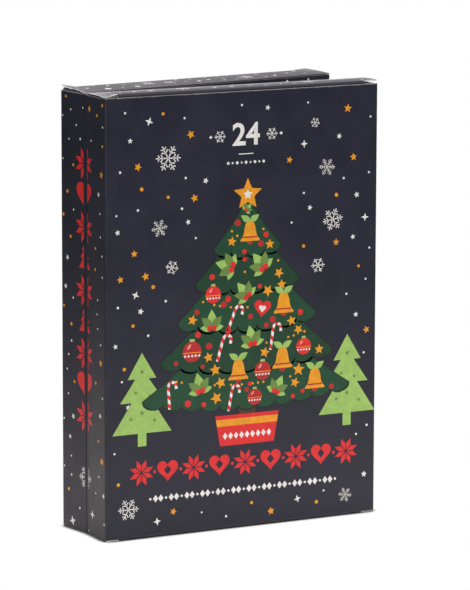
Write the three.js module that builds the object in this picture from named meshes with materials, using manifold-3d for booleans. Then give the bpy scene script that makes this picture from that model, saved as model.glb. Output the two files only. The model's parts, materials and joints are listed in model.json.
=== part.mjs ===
// Book-style advent calendar. Two equal cartons, folded from one printed board, are joined along a
// crease down the middle of the spine and stand slightly ajar. Each half has twelve doors in its inner
// panel, a formed tray of chocolates behind them, and a tuck-in lid with slit locks at either end.
// Millimetres, +Z up, +X from the spine to the fore edge. The calendar stands on z = 0, centred.

import * as THREE from 'three';
import { mergeVertices } from 'three/addons/utils/BufferGeometryUtils.js';
import Module from 'manifold-3d';

const wasm = await Module();
wasm.setup();

// Carton: driving dimensions
const cartonWidth = 221; // outside of the spine to outside of the fore edge
const cartonTop = 320; // top edge of the upright panels
const halfDepth = 31.7; // closing plane to the outside of the outer panel
const openDegrees = 9.2; // how far the book stands ajar
const board = 0.6; // thickness of the printed board
const fit = 0.3; // gap between pieces that touch
const seam = 0.3; // closing plane to each inner panel
const uprightFold = 1.4; // outer radius of the upright folds
const spineFold = 0.8; // outer radius beside the crease of the spine
const overrun = 1; // how far a cut runs past what it cuts
const cartonFoot = board + fit; // lower edge of the upright panels, above the bottom lids
const cartonMiddle = (cartonTop + cartonFoot) / 2;
const panelInside = seam + board; // inside of the inner panel
const outerInside = halfDepth - board; // inside of the outer panel
const arcSteps = 3;

// Lids: a plate hinged on the inner panel, a rolled fold and a tuck flap curved about the hinge
const lidSetback = 0.5; // lid's ends, from the outside of the side walls
// Upper lids, by the spine and by the fore edge: how far they stand up at their fold, how far they
// arch between hinge and fold, and how far the corners at their cut edges spring up or droop
const frontRises = [1.9, 1.5];
const rearRises = [1.2, 0.4];
const frontArches = [0.5, 0.8];
const rearArches = [0.2, 0.3];
const frontLifts = [-1.9, 0.1];
const rearLifts = [1.8, 0.5];
const archSteps = 4;
const lidFold = 2; // radius of the fold at mid-board
const foldSteps = 5;
const tuckLength = 16; // along the tuck flap
const tuckSetback = 1.5; // ends of the tuck flap, from the inside of the side walls
const tuckTaper = 7; // how much shorter the flap's free edge is at each end
const tuckCorner = 6;
const slitLock = 10; // length of the slit at either end of the fold
const slitDrop = 2; // top of the flap below the hinge, under the slit
const lidHinge = seam + board / 2; // hinge line, in depth
const lidLevel = cartonTop + fit + board / 2; // hinge line, in height
const tuckRadius = outerInside - fit - board / 2 - lidHinge; // mid-board, about the hinge line

// Dust flaps: folded in from the side walls under each lid
const dustLength = 38; // from the outside of the side wall
const dustShoulder = 11; // length of the full-depth part that the slit lock catches
const dustStep = 1.5; // from the shoulder to the tapered part
const dustTaper = 5;
const dustCorner = 5;
const dustLeg = 3; // how far down the side wall the fold reaches
const dustFold = 1.2; // outer radius of the fold
// Upper dust flaps by the spine: how far their outer edge springs up, at places along the flap
const springPlaces = [1.3, 2.6, 9.5, dustLength];
const frontSprings = [0.1, 0.3, 1, 1.2];
const rearSprings = [2, 2.2, 0, 0];
const noSprings = springPlaces.map(() => 0);
const tuckClearance = 0.8; // dust flap's shoulder to the tuck flap

// Glue lap: the strip that closes the tube, inside the outer panel along the fore edge
const lapWidth = 12;
const lapClearance = 3; // ends of the lap, from the tuck flaps
const lapTaper = 6;

// Doors: a grid in the inner panel, hinged on the spine side
const doorColumns = 3;
const doorRows = 4;
const sideMargin = 14;
const endMargin = 18;
const columnGap = 8;
const rowGap = 12;
const doorCorner = 4;
const thumbWidth = 18; // thumb tab in the middle of the free edge
const thumbReach = 3;
const thumbCorner = 2.5;
const thumbSteps = 2;
const doorWidth = (cartonWidth - 2 * sideMargin - (doorColumns - 1) * columnGap) / doorColumns;
const doorHeight = (cartonTop - cartonFoot - 2 * endMargin - (doorRows - 1) * rowGap) / doorRows;

// Trays: thin formed sheet, its pockets behind the doors
const sheet = 0.5;
const flangeMargin = 1.5; // flange edge to the walls and dust flaps
const flangeCorner = 6;
const pocketInset = 3; // pocket's mouth inside the door's opening
const pocketCorner = 9;
const pocketDraft = 2.2; // how far each wall leans in from the mouth to the well's floor
const seatDepth = 8; // recess that holds the chocolate, below the well's floor
const seatDraft = 0.9;
const seatCorner = 7;
const trayFace = panelInside + fit; // flange, against the inner panel
const seatFloor = outerInside - fit - sheet; // inside of the seat, over the outer panel
const wellFloor = seatFloor - seatDepth;

// Chocolates: a square moulded praline with a raised star
const chocolateSide = 32;
const chocolateHeight = 15;
const chocolateCorner = 6.5;
const chocolateFoot = 1; // small bevel round the base
const chocolateDraft = 2.2;
const chocolateBevel = 3; // wide bevel round the top
const starRadius = 9.5;
const starHeight = 1.8;
const starPoints = 5;
const starNotchShare = 0.48; // inner corners, as a share of the star's radius
const starTopShare = 0.3; // upper outline, as a share of the lower

// Numbers printed on the doors, row by row from the top, as they are scattered over the two panels
const frontNumbers = ['17', '04', '22', '09', '13', '02', '20', '24', '07', '05', '15', '11'];
const rearNumbers = ['01', '19', '10', '14', '06', '23', '12', '21', '03', '18', '08', '16'];

const printedBoard = new THREE.MeshStandardMaterial({ color: '#2b2d3a', roughness: 0.45, metalness: 0 });
const doorBoard = new THREE.MeshStandardMaterial({ color: '#323547', roughness: 0.45, metalness: 0 });
const traySheet = new THREE.MeshStandardMaterial({ color: '#b9915a', roughness: 0.3, metalness: 0.2 });
const milkChocolate = new THREE.MeshStandardMaterial({ color: '#4a2818', roughness: 0.5, metalness: 0 });

const axisX = new THREE.Vector3(1, 0, 0);
const axisY = new THREE.Vector3(0, 1, 0);
const axisZ = new THREE.Vector3(0, 0, 1);

const copies = (count, make) => Array.from({ length: count }, (_, i) => make(i));

// An outline through the corners [a, b, radius, count], each corner with a radius rounded by an arc of
// that many steps
function rounded(corners, steps = arcSteps) {
  return corners.flatMap(([a, b, radius = 0, count = steps], i) => {
    const here = new THREE.Vector2(a, b);
    if (radius === 0) return [here];
    const [before, after] = [corners.at(i - 1), corners[(i + 1) % corners.length]].map(([p, q]) =>
      new THREE.Vector2(p, q).sub(here).normalize(),
    );
    const half = Math.acos(before.dot(after)) / 2;
    const middle = before.clone().add(after).normalize();
    const centre = middle.multiplyScalar(radius / Math.sin(half)).add(here);
    const start = before.clone().multiplyScalar(radius / Math.tan(half)).add(here);
    const turn = -Math.sign(before.cross(after)) * (Math.PI - 2 * half);
    return copies(count + 1, (k) => start.clone().rotateAround(centre, (turn * k) / count));
  });
}

// A rounded rectangle about the origin
function rectangle(width, height, radius, steps) {
  const [a, b] = [width / 2, height / 2];
  return rounded([[-a, -b, radius], [a, -b, radius], [a, b, radius], [-a, b, radius]], steps);
}

// Points on an arc from one angle to another
function arc(centre, radius, from, to, steps = arcSteps) {
  return copies(steps + 1, (k) => {
    const angle = from + ((to - from) * k) / steps;
    return new THREE.Vector2(Math.cos(angle), Math.sin(angle)).multiplyScalar(radius).add(centre);
  });
}

// A plate of this outline between two heights
function plate(outline, from, to, ...holes) {
  const shape = new THREE.Shape(outline);
  shape.holes = holes.map((hole) => new THREE.Path(hole));
  const geometry = new THREE.ExtrudeGeometry(shape, { depth: to - from, bevelEnabled: false });
  return geometry.translate(0, 0, from);
}

// A closed form through outlines of equal point counts at rising heights
function loft(levels) {
  const count = levels[0].outline.length;
  const last = (levels.length - 1) * count;
  const points = levels.flatMap(({ outline, at }) => outline.flatMap(({ x, y }) => [x, y, at]));
  const cap = THREE.ShapeUtils.triangulateShape(levels[0].outline, []);
  const index = cap.flatMap(([a, b, c]) => [c, b, a, last + a, last + b, last + c]);
  for (let start = 0; start < last; start += count) {
    for (let i = 0; i < count; i += 1) {
      const [a, b] = [start + i, start + ((i + 1) % count)];
      index.push(a, b, b + count, a, b + count, a + count);
    }
  }
  const geometry = new THREE.BufferGeometry();
  geometry.setAttribute('position', new THREE.Float32BufferAttribute(points, 3));
  geometry.setIndex(index);
  return geometry;
}

// Outlines drawn as (z, x) rise in depth, and outlines drawn as (depth, z) rise in width
const inDepth = (geometry) => geometry.applyMatrix4(new THREE.Matrix4().makeBasis(axisZ, axisX, axisY));
const inWidth = (geometry) => geometry.applyMatrix4(new THREE.Matrix4().makeBasis(axisY, axisZ, axisX));

// A closed geometry as a solid that can be joined and cut, and back
function solid(geometry) {
  const bare = geometry.clone();
  bare.deleteAttribute('normal');
  bare.deleteAttribute('uv');
  const merged = mergeVertices(bare);
  return new wasm.Manifold(
    new wasm.Mesh({
      numProp: 3,
      vertProperties: merged.attributes.position.array,
      triVerts: Uint32Array.from(merged.index.array),
    }),
  );
}

function geometryOf(body) {
  const mesh = body.getMesh();
  const geometry = new THREE.BufferGeometry();
  geometry.setAttribute('position', new THREE.BufferAttribute(mesh.vertProperties, 3));
  geometry.setIndex(new THREE.BufferAttribute(mesh.triVerts, 1));
  return geometry;
}

const joined = (solids) => solids.reduce((all, next) => all.add(next));

// The mirror image of a geometry across the plane at a place along an axis
function mirrored(geometry, axis, at = 0) {
  const image = geometry.index ? geometry.clone() : mergeVertices(geometry);
  const flip = new THREE.Vector3(1, 1, 1).addScaledVector(axis, -2);
  image.scale(...flip.toArray()).translate(...axis.clone().multiplyScalar(2 * at).toArray());
  const { array } = image.index;
  for (let i = 0; i < array.length; i += 3) [array[i], array[i + 1]] = [array[i + 1], array[i]];
  return image;
}

// Pieces of a half are drawn with x from the spine, y as the depth from the closing plane, and z up

// Centres of the doors' openings, row by row from the top
const doorPlaces = copies(doorColumns * doorRows, (i) => {
  const [row, column] = [Math.floor(i / doorColumns), i % doorColumns];
  return {
    hinge: sideMargin + column * (doorWidth + columnGap),
    x: sideMargin + column * (doorWidth + columnGap) + doorWidth / 2,
    z: cartonTop - endMargin - doorHeight / 2 - row * (doorHeight + rowGap),
  };
});

// A door's outline as (z, x) from the middle of its hinge edge, with this much play all round
function doorOutline(play) {
  const [top, free, tab] = [doorHeight / 2 - play, doorWidth - play, thumbWidth / 2 - play];
  const shoulder = tab - thumbReach;
  return rounded([
    [-top, play],
    [top, play],
    [top, free, doorCorner],
    [tab, free, thumbCorner, thumbSteps],
    [shoulder, free + thumbReach, thumbCorner, thumbSteps],
    [-shoulder, free + thumbReach, thumbCorner, thumbSteps],
    [-tab, free, thumbCorner, thumbSteps],
    [-top, free, doorCorner],
  ]);
}

const makeDoor = () => inDepth(plate(doorOutline(fit), 0, board));

// The dust flap at the top of the spine wall: an L-shaped fold cut to the flap's plan, whose outer
// edge may spring up under the lid
function dustFlap(innerEdge, shoulderEdge, springs) {
  const [low, top] = [cartonTop - dustLeg, cartonTop];
  const fold = rounded([
    [innerEdge, low],
    [innerEdge, top],
    [shoulderEdge, top],
    [shoulderEdge, low],
  ]);
  const section = (rises) => {
    const upper = rises.map((rise, i) => [top + rise, springPlaces[i]]);
    const under = rises.map((rise, i) => [top + rise - board, Math.min(springPlaces[i] + board, dustLength)]);
    const [outside, inside] = [[top, 0, dustFold], [top - board, board, dustFold - board]];
    return rounded([[low, 0], outside, ...upper, ...under.reverse(), inside, [low, board]]);
  };
  const plan = rounded([
    [-overrun, innerEdge],
    [dustShoulder, innerEdge],
    [dustLength, innerEdge + dustTaper, dustCorner],
    [dustLength, shoulderEdge - dustStep - dustTaper, dustCorner],
    [dustShoulder, shoulderEdge - dustStep],
    [dustShoulder, shoulderEdge],
    [-overrun, shoulderEdge],
  ]);
  const levels = [[noSprings, innerEdge], [springs, shoulderEdge]];
  const folded = solid(inDepth(loft(levels.map(([rises, at]) => ({ outline: section(rises), at })))));
  const flap = folded.intersect(solid(plate(plan, low - overrun, top + Math.max(...springs) + overrun)));
  const notch = solid(inWidth(plate(fold, -overrun, board)));
  return { flap: geometryOf(flap), notch: geometryOf(notch) };
}

// The four-sided tube with its doors cut out, its glue lap and its dust flaps, of which the upper one
// by the spine may spring up
function makeCarton(springs) {
  const walls = rounded([
    [0, seam, spineFold],
    [cartonWidth, seam, uprightFold],
    [cartonWidth, halfDepth, uprightFold],
    [0, halfDepth, uprightFold],
  ]);
  const inside = rounded([
    [board, panelInside, spineFold - board],
    [cartonWidth - board, panelInside, uprightFold - board],
    [cartonWidth - board, outerInside, uprightFold - board],
    [board, outerInside, uprightFold - board],
  ]);
  const opening = inDepth(plate(doorOutline(0), seam - overrun, panelInside + overrun));
  let carton = solid(plate(walls, cartonFoot, cartonTop, inside));
  for (const { hinge, z } of doorPlaces) {
    carton = carton.subtract(solid(opening.clone().translate(hinge, 0, z)));
  }

  const lapEdge = cartonWidth - board;
  const lapHalf = (cartonTop - cartonFoot) / 2 - tuckLength - lapClearance;
  const lap = rounded([
    [cartonMiddle - lapHalf, lapEdge],
    [cartonMiddle - lapHalf + lapTaper, lapEdge - lapWidth],
    [cartonMiddle + lapHalf - lapTaper, lapEdge - lapWidth],
    [cartonMiddle + lapHalf, lapEdge],
  ]);
  carton = carton.add(solid(inDepth(plate(lap, outerInside - board, outerInside))));

  const drop = lidLevel - cartonTop + board;
  const shoulderEdge = lidHinge + Math.sqrt((tuckRadius - board / 2) ** 2 - drop ** 2) - tuckClearance;
  const ends = [(g) => g, (g) => mirrored(g, axisZ, cartonMiddle)];
  const sides = [(g) => g, (g) => mirrored(g, axisX, cartonWidth / 2)];
  const corners = ends.flatMap((end) => sides.map((side) => (g) => solid(side(end(g)))));
  corners.forEach((corner, i) => {
    const { flap, notch } = dustFlap(panelInside, shoulderEdge, i === 0 ? springs : noSprings);
    carton = carton.subtract(corner(notch)).add(corner(flap));
  });
  return geometryOf(carton);
}

// A top lid, drawn as (depth, height) from its hinge line, its rises, arches and lifts given by the spine
// and by the fore edge. The tuck flap lies on a circle about the hinge line, so it rolls out past the
// outer panel as the lid opens. Beyond the slits, at both ends, the plate runs on to a cut edge, and
// only the lower part of the flap goes across.
function makeLid(rises, arches, lifts) {
  const hinge = new THREE.Vector2(0, 0);
  const foldReach = tuckRadius - lidFold; // hinge line to the centre of the fold
  const foldDrop = Math.asin(lidFold / foldReach);
  const [inner, outer] = [-board / 2, board / 2];
  const flapEnd = -foldDrop - tuckLength / tuckRadius;
  const slitAngle = -Math.asin(slitDrop / tuckRadius);
  const slopes = rises.map((rise) => Math.asin(rise / foldReach));
  const knuckle = (slope) => arc(hinge, outer, slope + Math.PI / 2, slope + Math.PI * 1.5);
  const face = (end, slope, side, length) =>
    copies(archSteps - 1, (k) => {
      const share = (k + 1) / archSteps;
      const arch = 4 * arches[end] * share * (1 - share);
      return new THREE.Vector2(length * share, side + arch).rotateAround(hinge, slope);
    });

  const wholeSection = (end) => {
    const slope = slopes[end];
    const foldAngle = slope - foldDrop;
    const upright = slope + Math.PI / 2;
    const foldCentre = new THREE.Vector2(Math.cos(foldAngle), Math.sin(foldAngle)).multiplyScalar(foldReach);
    const length = foldReach * Math.cos(foldDrop);
    return [
      ...knuckle(slope),
      ...face(end, slope, inner, length),
      ...arc(foldCentre, lidFold + inner, upright, foldAngle, foldSteps),
      ...arc(hinge, tuckRadius + inner, foldAngle, flapEnd).slice(1),
      ...arc(hinge, tuckRadius + outer, flapEnd, foldAngle),
      ...arc(foldCentre, lidFold + outer, foldAngle, upright, foldSteps).slice(1),
      ...face(end, slope, outer, length).reverse(),
    ];
  };
  const tabSection = (end, raised) => {
    const slope = slopes[end] + raised / tuckRadius;
    const edge = [inner, outer].map((side) => new THREE.Vector2(tuckRadius + outer, side));
    return [
      ...knuckle(slope),
      ...face(end, slope, inner, tuckRadius),
      ...edge.map((point) => point.rotateAround(hinge, slope)),
      ...face(end, slope, outer, tuckRadius).reverse(),
    ];
  };
  const flapSection = [
    ...arc(hinge, tuckRadius + inner, slitAngle, flapEnd),
    ...arc(hinge, tuckRadius + outer, flapEnd, slitAngle),
  ];

  const [start, end] = [lidSetback, cartonWidth - lidSetback];
  const [slitStart, slitEnd] = [start + slitLock, end - slitLock];
  const [flapStart, flapStop] = [board + tuckSetback, cartonWidth - board - tuckSetback];
  const across = (...levels) => solid(inWidth(loft(levels.map(([outline, at]) => ({ outline, at })))));
  const reach = tuckRadius * Math.sin(-flapEnd);
  const height = Math.max(...rises.map((rise, end) => rise + arches[end] + Math.max(lifts[end], 0))) + lidFold;
  const trim = rounded([
    [start, board],
    [start, -board - slitDrop],
    [flapStart, -board - slitDrop],
    [flapStart + tuckTaper, -reach - board, tuckCorner],
    [flapStop - tuckTaper, -reach - board, tuckCorner],
    [flapStop, -board - slitDrop],
    [end, -board - slitDrop],
    [end, board],
    [end, height],
    [start, height],
  ]).map(({ x, y }) => new THREE.Vector2(y, x));
  const lid = joined([
    across([tabSection(0, lifts[0]), start], [tabSection(0, 0), slitStart]),
    across([wholeSection(0), slitStart], [wholeSection(1), slitEnd]),
    across([tabSection(1, 0), slitEnd], [tabSection(1, lifts[1]), end]),
    across([flapSection, flapStart], [flapSection, slitStart]),
    across([flapSection, slitEnd], [flapSection, flapStop]),
  ]);
  return geometryOf(lid.intersect(solid(inDepth(plate(trim, -overrun, halfDepth)))));
}

// The form of a tray pocket as (z, x) about its middle, rising in depth: the hollow itself, or with
// the sheet's thickness its outside
function pocketForm(wall, mouthLevel) {
  const [height, width] = [doorHeight - 2 * pocketInset, doorWidth - 2 * pocketInset];
  const seat = chocolateSide + 2 * fit;
  const steps = 2;
  const ring = (a, b, corner, at) => ({ outline: rectangle(a + 2 * wall, b + 2 * wall, corner + wall, steps), at });
  return loft([
    ring(height, width, pocketCorner, mouthLevel),
    ring(height - 2 * pocketDraft, width - 2 * pocketDraft, pocketCorner - pocketDraft, wellFloor + wall),
    ring(seat + 2 * seatDraft, seat + 2 * seatDraft, seatCorner + seatDraft, wellFloor + wall),
    ring(seat, seat, seatCorner, seatFloor + wall),
  ]);
}

// The formed tray: a flange with twelve pockets, each with a well for the fingers and a seat below it
function makeTray() {
  const width = cartonWidth - 2 * board - 2 * flangeMargin;
  const height = cartonTop - cartonFoot - 2 * board - 2 * flangeMargin;
  const flange = plate(rectangle(height, width, flangeCorner), trayFace, trayFace + sheet);
  const outside = inDepth(pocketForm(sheet, trayFace));
  const hollow = inDepth(pocketForm(0, trayFace - overrun));
  let tray = solid(inDepth(flange).translate(cartonWidth / 2, 0, cartonMiddle));
  for (const { x, z } of doorPlaces) tray = tray.add(solid(outside.clone().translate(x, 0, z)));
  for (const { x, z } of doorPlaces) tray = tray.subtract(solid(hollow.clone().translate(x, 0, z)));
  return geometryOf(tray);
}

// A chocolate, from its raised star down to its base, rising in depth from the middle of its base
function makeChocolate() {
  const steps = 2;
  const ring = (inset, at) => ({
    outline: rectangle(chocolateSide - 2 * inset, chocolateSide - 2 * inset, chocolateCorner - inset / 2, steps),
    at,
  });
  const body = loft([
    ring(chocolateDraft + chocolateBevel, -chocolateHeight),
    ring(chocolateDraft, chocolateBevel - chocolateHeight),
    ring(0, -chocolateFoot),
    ring(chocolateFoot, 0),
  ]);
  const star = copies(2 * starPoints, (i) => {
    const radius = i % 2 ? starRadius * starNotchShare : starRadius;
    return new THREE.Vector2(radius, 0).rotateAround(new THREE.Vector2(), (i * Math.PI) / starPoints);
  });
  const relief = loft([
    { outline: star.map((p) => p.clone().multiplyScalar(starTopShare)), at: -chocolateHeight - starHeight },
    { outline: star, at: -chocolateHeight + chocolateFoot },
  ]);
  return geometryOf(solid(inDepth(body)).add(solid(inDepth(relief))));
}

// Assembly: the front half is the mirror image of the rear one, which is turned open about the crease
const calendar = new THREE.Group();
const rearHalf = new THREE.Group();
const frontHalf = new THREE.Group();
rearHalf.rotation.z = THREE.MathUtils.degToRad(openDegrees);
calendar.add(frontHalf, rearHalf);

function place(half, name, geometry, material, at = new THREE.Vector3()) {
  const front = half === frontHalf;
  const mesh = new THREE.Mesh(front ? mirrored(geometry, axisY) : geometry, material);
  mesh.name = name;
  mesh.position.set(at.x, front ? -at.y : at.y, at.z);
  half.add(mesh);
}

const cartons = [makeCarton(frontSprings), makeCarton(rearSprings)];
const topLids = [makeLid(frontRises, frontArches, frontLifts), makeLid(rearRises, rearArches, rearLifts)];
const bottomLid = mirrored(makeLid([0, 0], [0, 0], [0, 0]), axisZ);
const tray = makeTray();
const door = makeDoor();
const chocolate = makeChocolate();
const lidTop = new THREE.Vector3(0, lidHinge, lidLevel);
const lidBottom = new THREE.Vector3(0, lidHinge, 2 * cartonMiddle - lidLevel);

for (const [half, side, numbers] of [[frontHalf, 'front', frontNumbers], [rearHalf, 'rear', rearNumbers]]) {
  const own = half === frontHalf ? 0 : 1;
  place(half, `${side}_carton`, cartons[own], printedBoard);
  place(half, `${side}_top_lid`, topLids[own], printedBoard, lidTop);
  place(half, `${side}_bottom_lid`, bottomLid, printedBoard, lidBottom);
  place(half, `${side}_tray`, tray, traySheet);
  doorPlaces.forEach(({ hinge, x, z }, i) => {
    place(half, `door_${numbers[i]}`, door, doorBoard, new THREE.Vector3(hinge, seam, z));
    place(half, `chocolate_${numbers[i]}`, chocolate, milkChocolate, new THREE.Vector3(x, seatFloor - fit, z));
  });
}

// Stand it on z = 0 with the middle of its base at the origin
const bounds = new THREE.Box3().setFromObject(calendar, true);
const base = bounds.getCenter(new THREE.Vector3()).setZ(bounds.min.z);
calendar.position.sub(base);

export default calendar;
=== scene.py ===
"""Advent calendar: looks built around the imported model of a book-style advent calendar.

Two folded cartons of printed board share a creased spine and stand slightly ajar. This script dresses
the board, prints the artwork as thin layers of ink, and finishes the trays and chocolates inside.
Every length is in metres and every piece stays in the frame's own coordinates.
"""

import json
import logging
import math
import random
from dataclasses import dataclass
from enum import Enum, auto
from typing import ClassVar, Iterable, Sequence

import bpy
from bpy.types import ID, Material, Mesh, Node, NodeSocket, NodeTree, Object
from mathutils import Matrix, Vector
from mathutils.bvhtree import BVHTree


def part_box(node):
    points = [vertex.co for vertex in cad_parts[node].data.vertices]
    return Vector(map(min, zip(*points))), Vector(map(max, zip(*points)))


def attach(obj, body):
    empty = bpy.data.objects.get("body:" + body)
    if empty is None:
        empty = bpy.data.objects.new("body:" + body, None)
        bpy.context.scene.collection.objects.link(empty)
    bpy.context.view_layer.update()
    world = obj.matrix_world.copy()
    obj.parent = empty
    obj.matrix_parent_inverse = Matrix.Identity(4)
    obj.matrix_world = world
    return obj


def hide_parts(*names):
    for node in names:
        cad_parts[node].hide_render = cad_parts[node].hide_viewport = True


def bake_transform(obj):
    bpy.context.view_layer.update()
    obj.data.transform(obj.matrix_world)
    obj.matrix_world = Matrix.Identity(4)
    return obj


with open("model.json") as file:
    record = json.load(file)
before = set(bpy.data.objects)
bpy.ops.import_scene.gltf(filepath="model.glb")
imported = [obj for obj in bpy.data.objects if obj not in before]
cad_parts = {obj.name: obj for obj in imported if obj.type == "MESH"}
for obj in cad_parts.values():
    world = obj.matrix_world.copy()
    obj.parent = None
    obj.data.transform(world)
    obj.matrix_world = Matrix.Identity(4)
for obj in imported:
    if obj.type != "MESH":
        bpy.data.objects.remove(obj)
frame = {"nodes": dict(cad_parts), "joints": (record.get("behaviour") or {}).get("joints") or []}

LOG = logging.getLogger("advent_calendar")
MM = 0.001
Colour = tuple[float, float, float]
Point = tuple[float, float]
Place = tuple[float, float, float]


class Side(Enum):
    """The two cartons of the book."""

    FRONT = "front"
    REAR = "rear"


class End(Enum):
    """The two ends of a carton."""

    TOP = "top"
    BOTTOM = "bottom"


class Ink(Enum):
    """The inks of the print, each a linear colour."""

    WHITE = (0.83, 0.815, 0.80)
    GOLD = (0.82, 0.330, 0.010)
    RED = (0.73, 0.019, 0.021)
    DEEP_RED = (0.47, 0.017, 0.020)
    FIR = (0.0035, 0.046, 0.0185)
    PINE = (0.0050, 0.060, 0.0240)
    LEAF = (0.33, 0.54, 0.13)
    OLIVE = (0.145, 0.255, 0.055)
    NAVY = (0.0105, 0.0122, 0.0275)
    SHADE = (0.003, 0.016, 0.010)
    BARK = (0.075, 0.030, 0.014)
    BLUSH = (0.86, 0.30, 0.24)


# Board and print


@dataclass(frozen=True)
class BoardSizes:
    """Sizes of the folded board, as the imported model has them."""

    width: float = 221 * MM
    top: float = 320 * MM
    foot: float = 0.9 * MM
    depth: float = 31.7 * MM
    board: float = 0.6 * MM
    seam: float = 0.3 * MM
    probe: float = 2 * MM
    slit_lock: float = 10 * MM
    lid_fold_depth: float = 29.0 * MM


SIZES = BoardSizes()
INK_LAYER = 0.012 * MM
INK_PLATE = 0.022 * MM
INK_MIDDLE = INK_LAYER - INK_PLATE / 2
WELD = 0.004 * MM
SMOOTH_ANGLE = math.radians(40)
UP = Vector((0, 0, 1))


class Wall(Enum):
    """A carton's walls: if wide, if the front's is read from the spine or seam on, and where it stands."""

    OUTER = (True, True, SIZES.depth)
    INNER = (True, False, SIZES.seam)
    SPINE = (False, True, 0.0)
    FORE_EDGE = (False, False, SIZES.width)


# Small steps shared by everything that is modelled here


def deselect() -> None:
    """Leave object mode with nothing selected."""
    if bpy.context.object and bpy.context.object.mode != "OBJECT":
        bpy.ops.object.mode_set(mode="OBJECT")
    bpy.ops.object.select_all(action="DESELECT")


def activate(piece: Object) -> None:
    """Make this piece the only selected and active one."""
    deselect()
    piece.select_set(True)
    bpy.context.view_layer.objects.active = piece


def link(name: str, data: ID) -> Object:
    """Put a mesh, curve, light or camera into the scene as an object at the origin.

    Args:
        name: The object's name.
        data: What it shows.

    Returns:
        The object.
    """
    piece = bpy.data.objects.new(name, data)
    bpy.context.scene.collection.objects.link(piece)
    return piece


def settle(piece: Object) -> None:
    """Apply the active object's place, turn and scale to its mesh, and clear its finishes."""
    bpy.ops.object.transform_apply(location=True, rotation=True, scale=True)
    piece.data.materials.clear()


def close_up(piece: Object, merge: bool = True, outward: bool = True) -> None:
    """Merge doubled vertices and turn the faces outwards.

    Args:
        piece: The mesh object to tidy.
        merge: Whether doubled vertices are merged.
        outward: Whether the normals are worked out again.
    """
    activate(piece)
    bpy.ops.object.mode_set(mode="EDIT")
    bpy.ops.mesh.select_all(action="SELECT")
    if merge:
        bpy.ops.mesh.remove_doubles(threshold=WELD)
    if outward:
        bpy.ops.mesh.normals_make_consistent(inside=False)
    bpy.ops.object.mode_set(mode="OBJECT")


def smooth(piece: Object) -> None:
    """Smooth the rounded folds and keep the flat faces flat.

    Args:
        piece: The mesh object to smooth.
    """
    activate(piece)
    bpy.ops.object.shade_smooth_by_angle(angle=SMOOTH_ANGLE)
    weigh = piece.modifiers.new("weigh", "WEIGHTED_NORMAL")
    weigh.keep_sharp = True
    bpy.ops.object.modifier_apply(modifier=weigh.name)


def keep_mesh(piece: Object) -> Mesh:
    """Apply the object's place, take the object out of the scene and keep its mesh.

    Args:
        piece: The mesh object.

    Returns:
        Its mesh, in place.
    """
    activate(piece)
    settle(piece)
    mesh = piece.data
    bpy.data.objects.remove(piece)
    return mesh


def join(name: str, pieces: Sequence[Object]) -> Object:
    """Join pieces into one object.

    Args:
        name: The joined piece's name.
        pieces: The pieces, of which the first takes in the rest.

    Returns:
        The joined object.
    """
    deselect()
    for piece in pieces:
        piece.select_set(True)
    bpy.context.view_layer.objects.active = pieces[0]
    bpy.ops.object.join()
    joined = bpy.context.view_layer.objects.active
    joined.name = joined.data.name = name
    return joined


def to_mesh(piece: Object, level: float) -> Object:
    """Turn a curve or a text into a closed mesh.

    Args:
        piece: The curve or text object.
        level: The height at which its middle settles.

    Returns:
        The mesh object.
    """
    activate(piece)
    bpy.ops.object.convert(target="MESH")
    piece = bpy.context.object
    piece.location.z = level
    settle(piece)
    close_up(piece)
    return piece


def plate(name: str, points: Sequence[Sequence[float]], thickness: float, level: float) -> Object:
    """Model a closed flat plate.

    Args:
        name: The plate's name.
        points: The outline in x and y, once round.
        thickness: The plate's thickness.
        level: The height of its middle.

    Returns:
        The plate.
    """
    curve = bpy.data.curves.new(name, "CURVE")
    curve.dimensions = "2D"
    curve.fill_mode = "BOTH"
    curve.extrude = thickness / 2
    spline = curve.splines.new("POLY")
    spline.points.add(len(points) - 1)
    for spot, point in zip(spline.points, points):
        spot.co = (point[0], point[1], 0.0, 1.0)
    spline.use_cyclic_u = True
    return to_mesh(link(name, curve), level)


def ring(x: float, z: float, reach: float, count: int, shift: float = 0.0) -> list[Place]:
    """Places round a circle, clockwise from the top.

    Args:
        x: The circle's middle to the right.
        z: The circle's middle upwards.
        reach: Its radius.
        count: How many places there are.
        shift: How far on they start, as a share of a step.

    Returns:
        The places, as (x, z, angle in radians).
    """
    turns = [math.tau * (k + shift) / count for k in range(count)]
    return [(x + reach * math.sin(turn), z + reach * math.cos(turn), turn) for turn in turns]


# The book and its faces


@dataclass
class Half:
    """One carton's own frame: x from the spine, depth from the closing plane, z up."""

    side: Side
    crease: Vector
    opened: float

    @property
    def body(self) -> str:
        """The body that carries this half."""
        return f"{self.side.value}_half"

    @property
    def turn(self) -> float:
        """How far this half is turned about the crease, in radians."""
        return self.opened if self.side is Side.REAR else 0.0

    def way(self, x: float, depth: float, z: float) -> Vector:
        """A direction of the half, in the frame's coordinates."""
        y = depth if self.side is Side.REAR else -depth
        return Matrix.Rotation(self.turn, 3, "Z") @ Vector((x, y, z))

    def point(self, x: float, depth: float, z: float) -> Vector:
        """A point of the half, in the frame's coordinates."""
        return self.crease + self.way(x, depth, z)

    def local(self, place: Vector) -> Vector:
        """A place in the frame's coordinates as (x, depth, z) of the half."""
        return self.local_way(place - self.crease)

    def local_way(self, way: Vector) -> Vector:
        """A direction in the frame's coordinates as (x, depth, z) of the half."""
        turned = Matrix.Rotation(-self.turn, 3, "Z") @ way
        return turned if self.side is Side.REAR else Vector((turned.x, -turned.y, turned.z))


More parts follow.
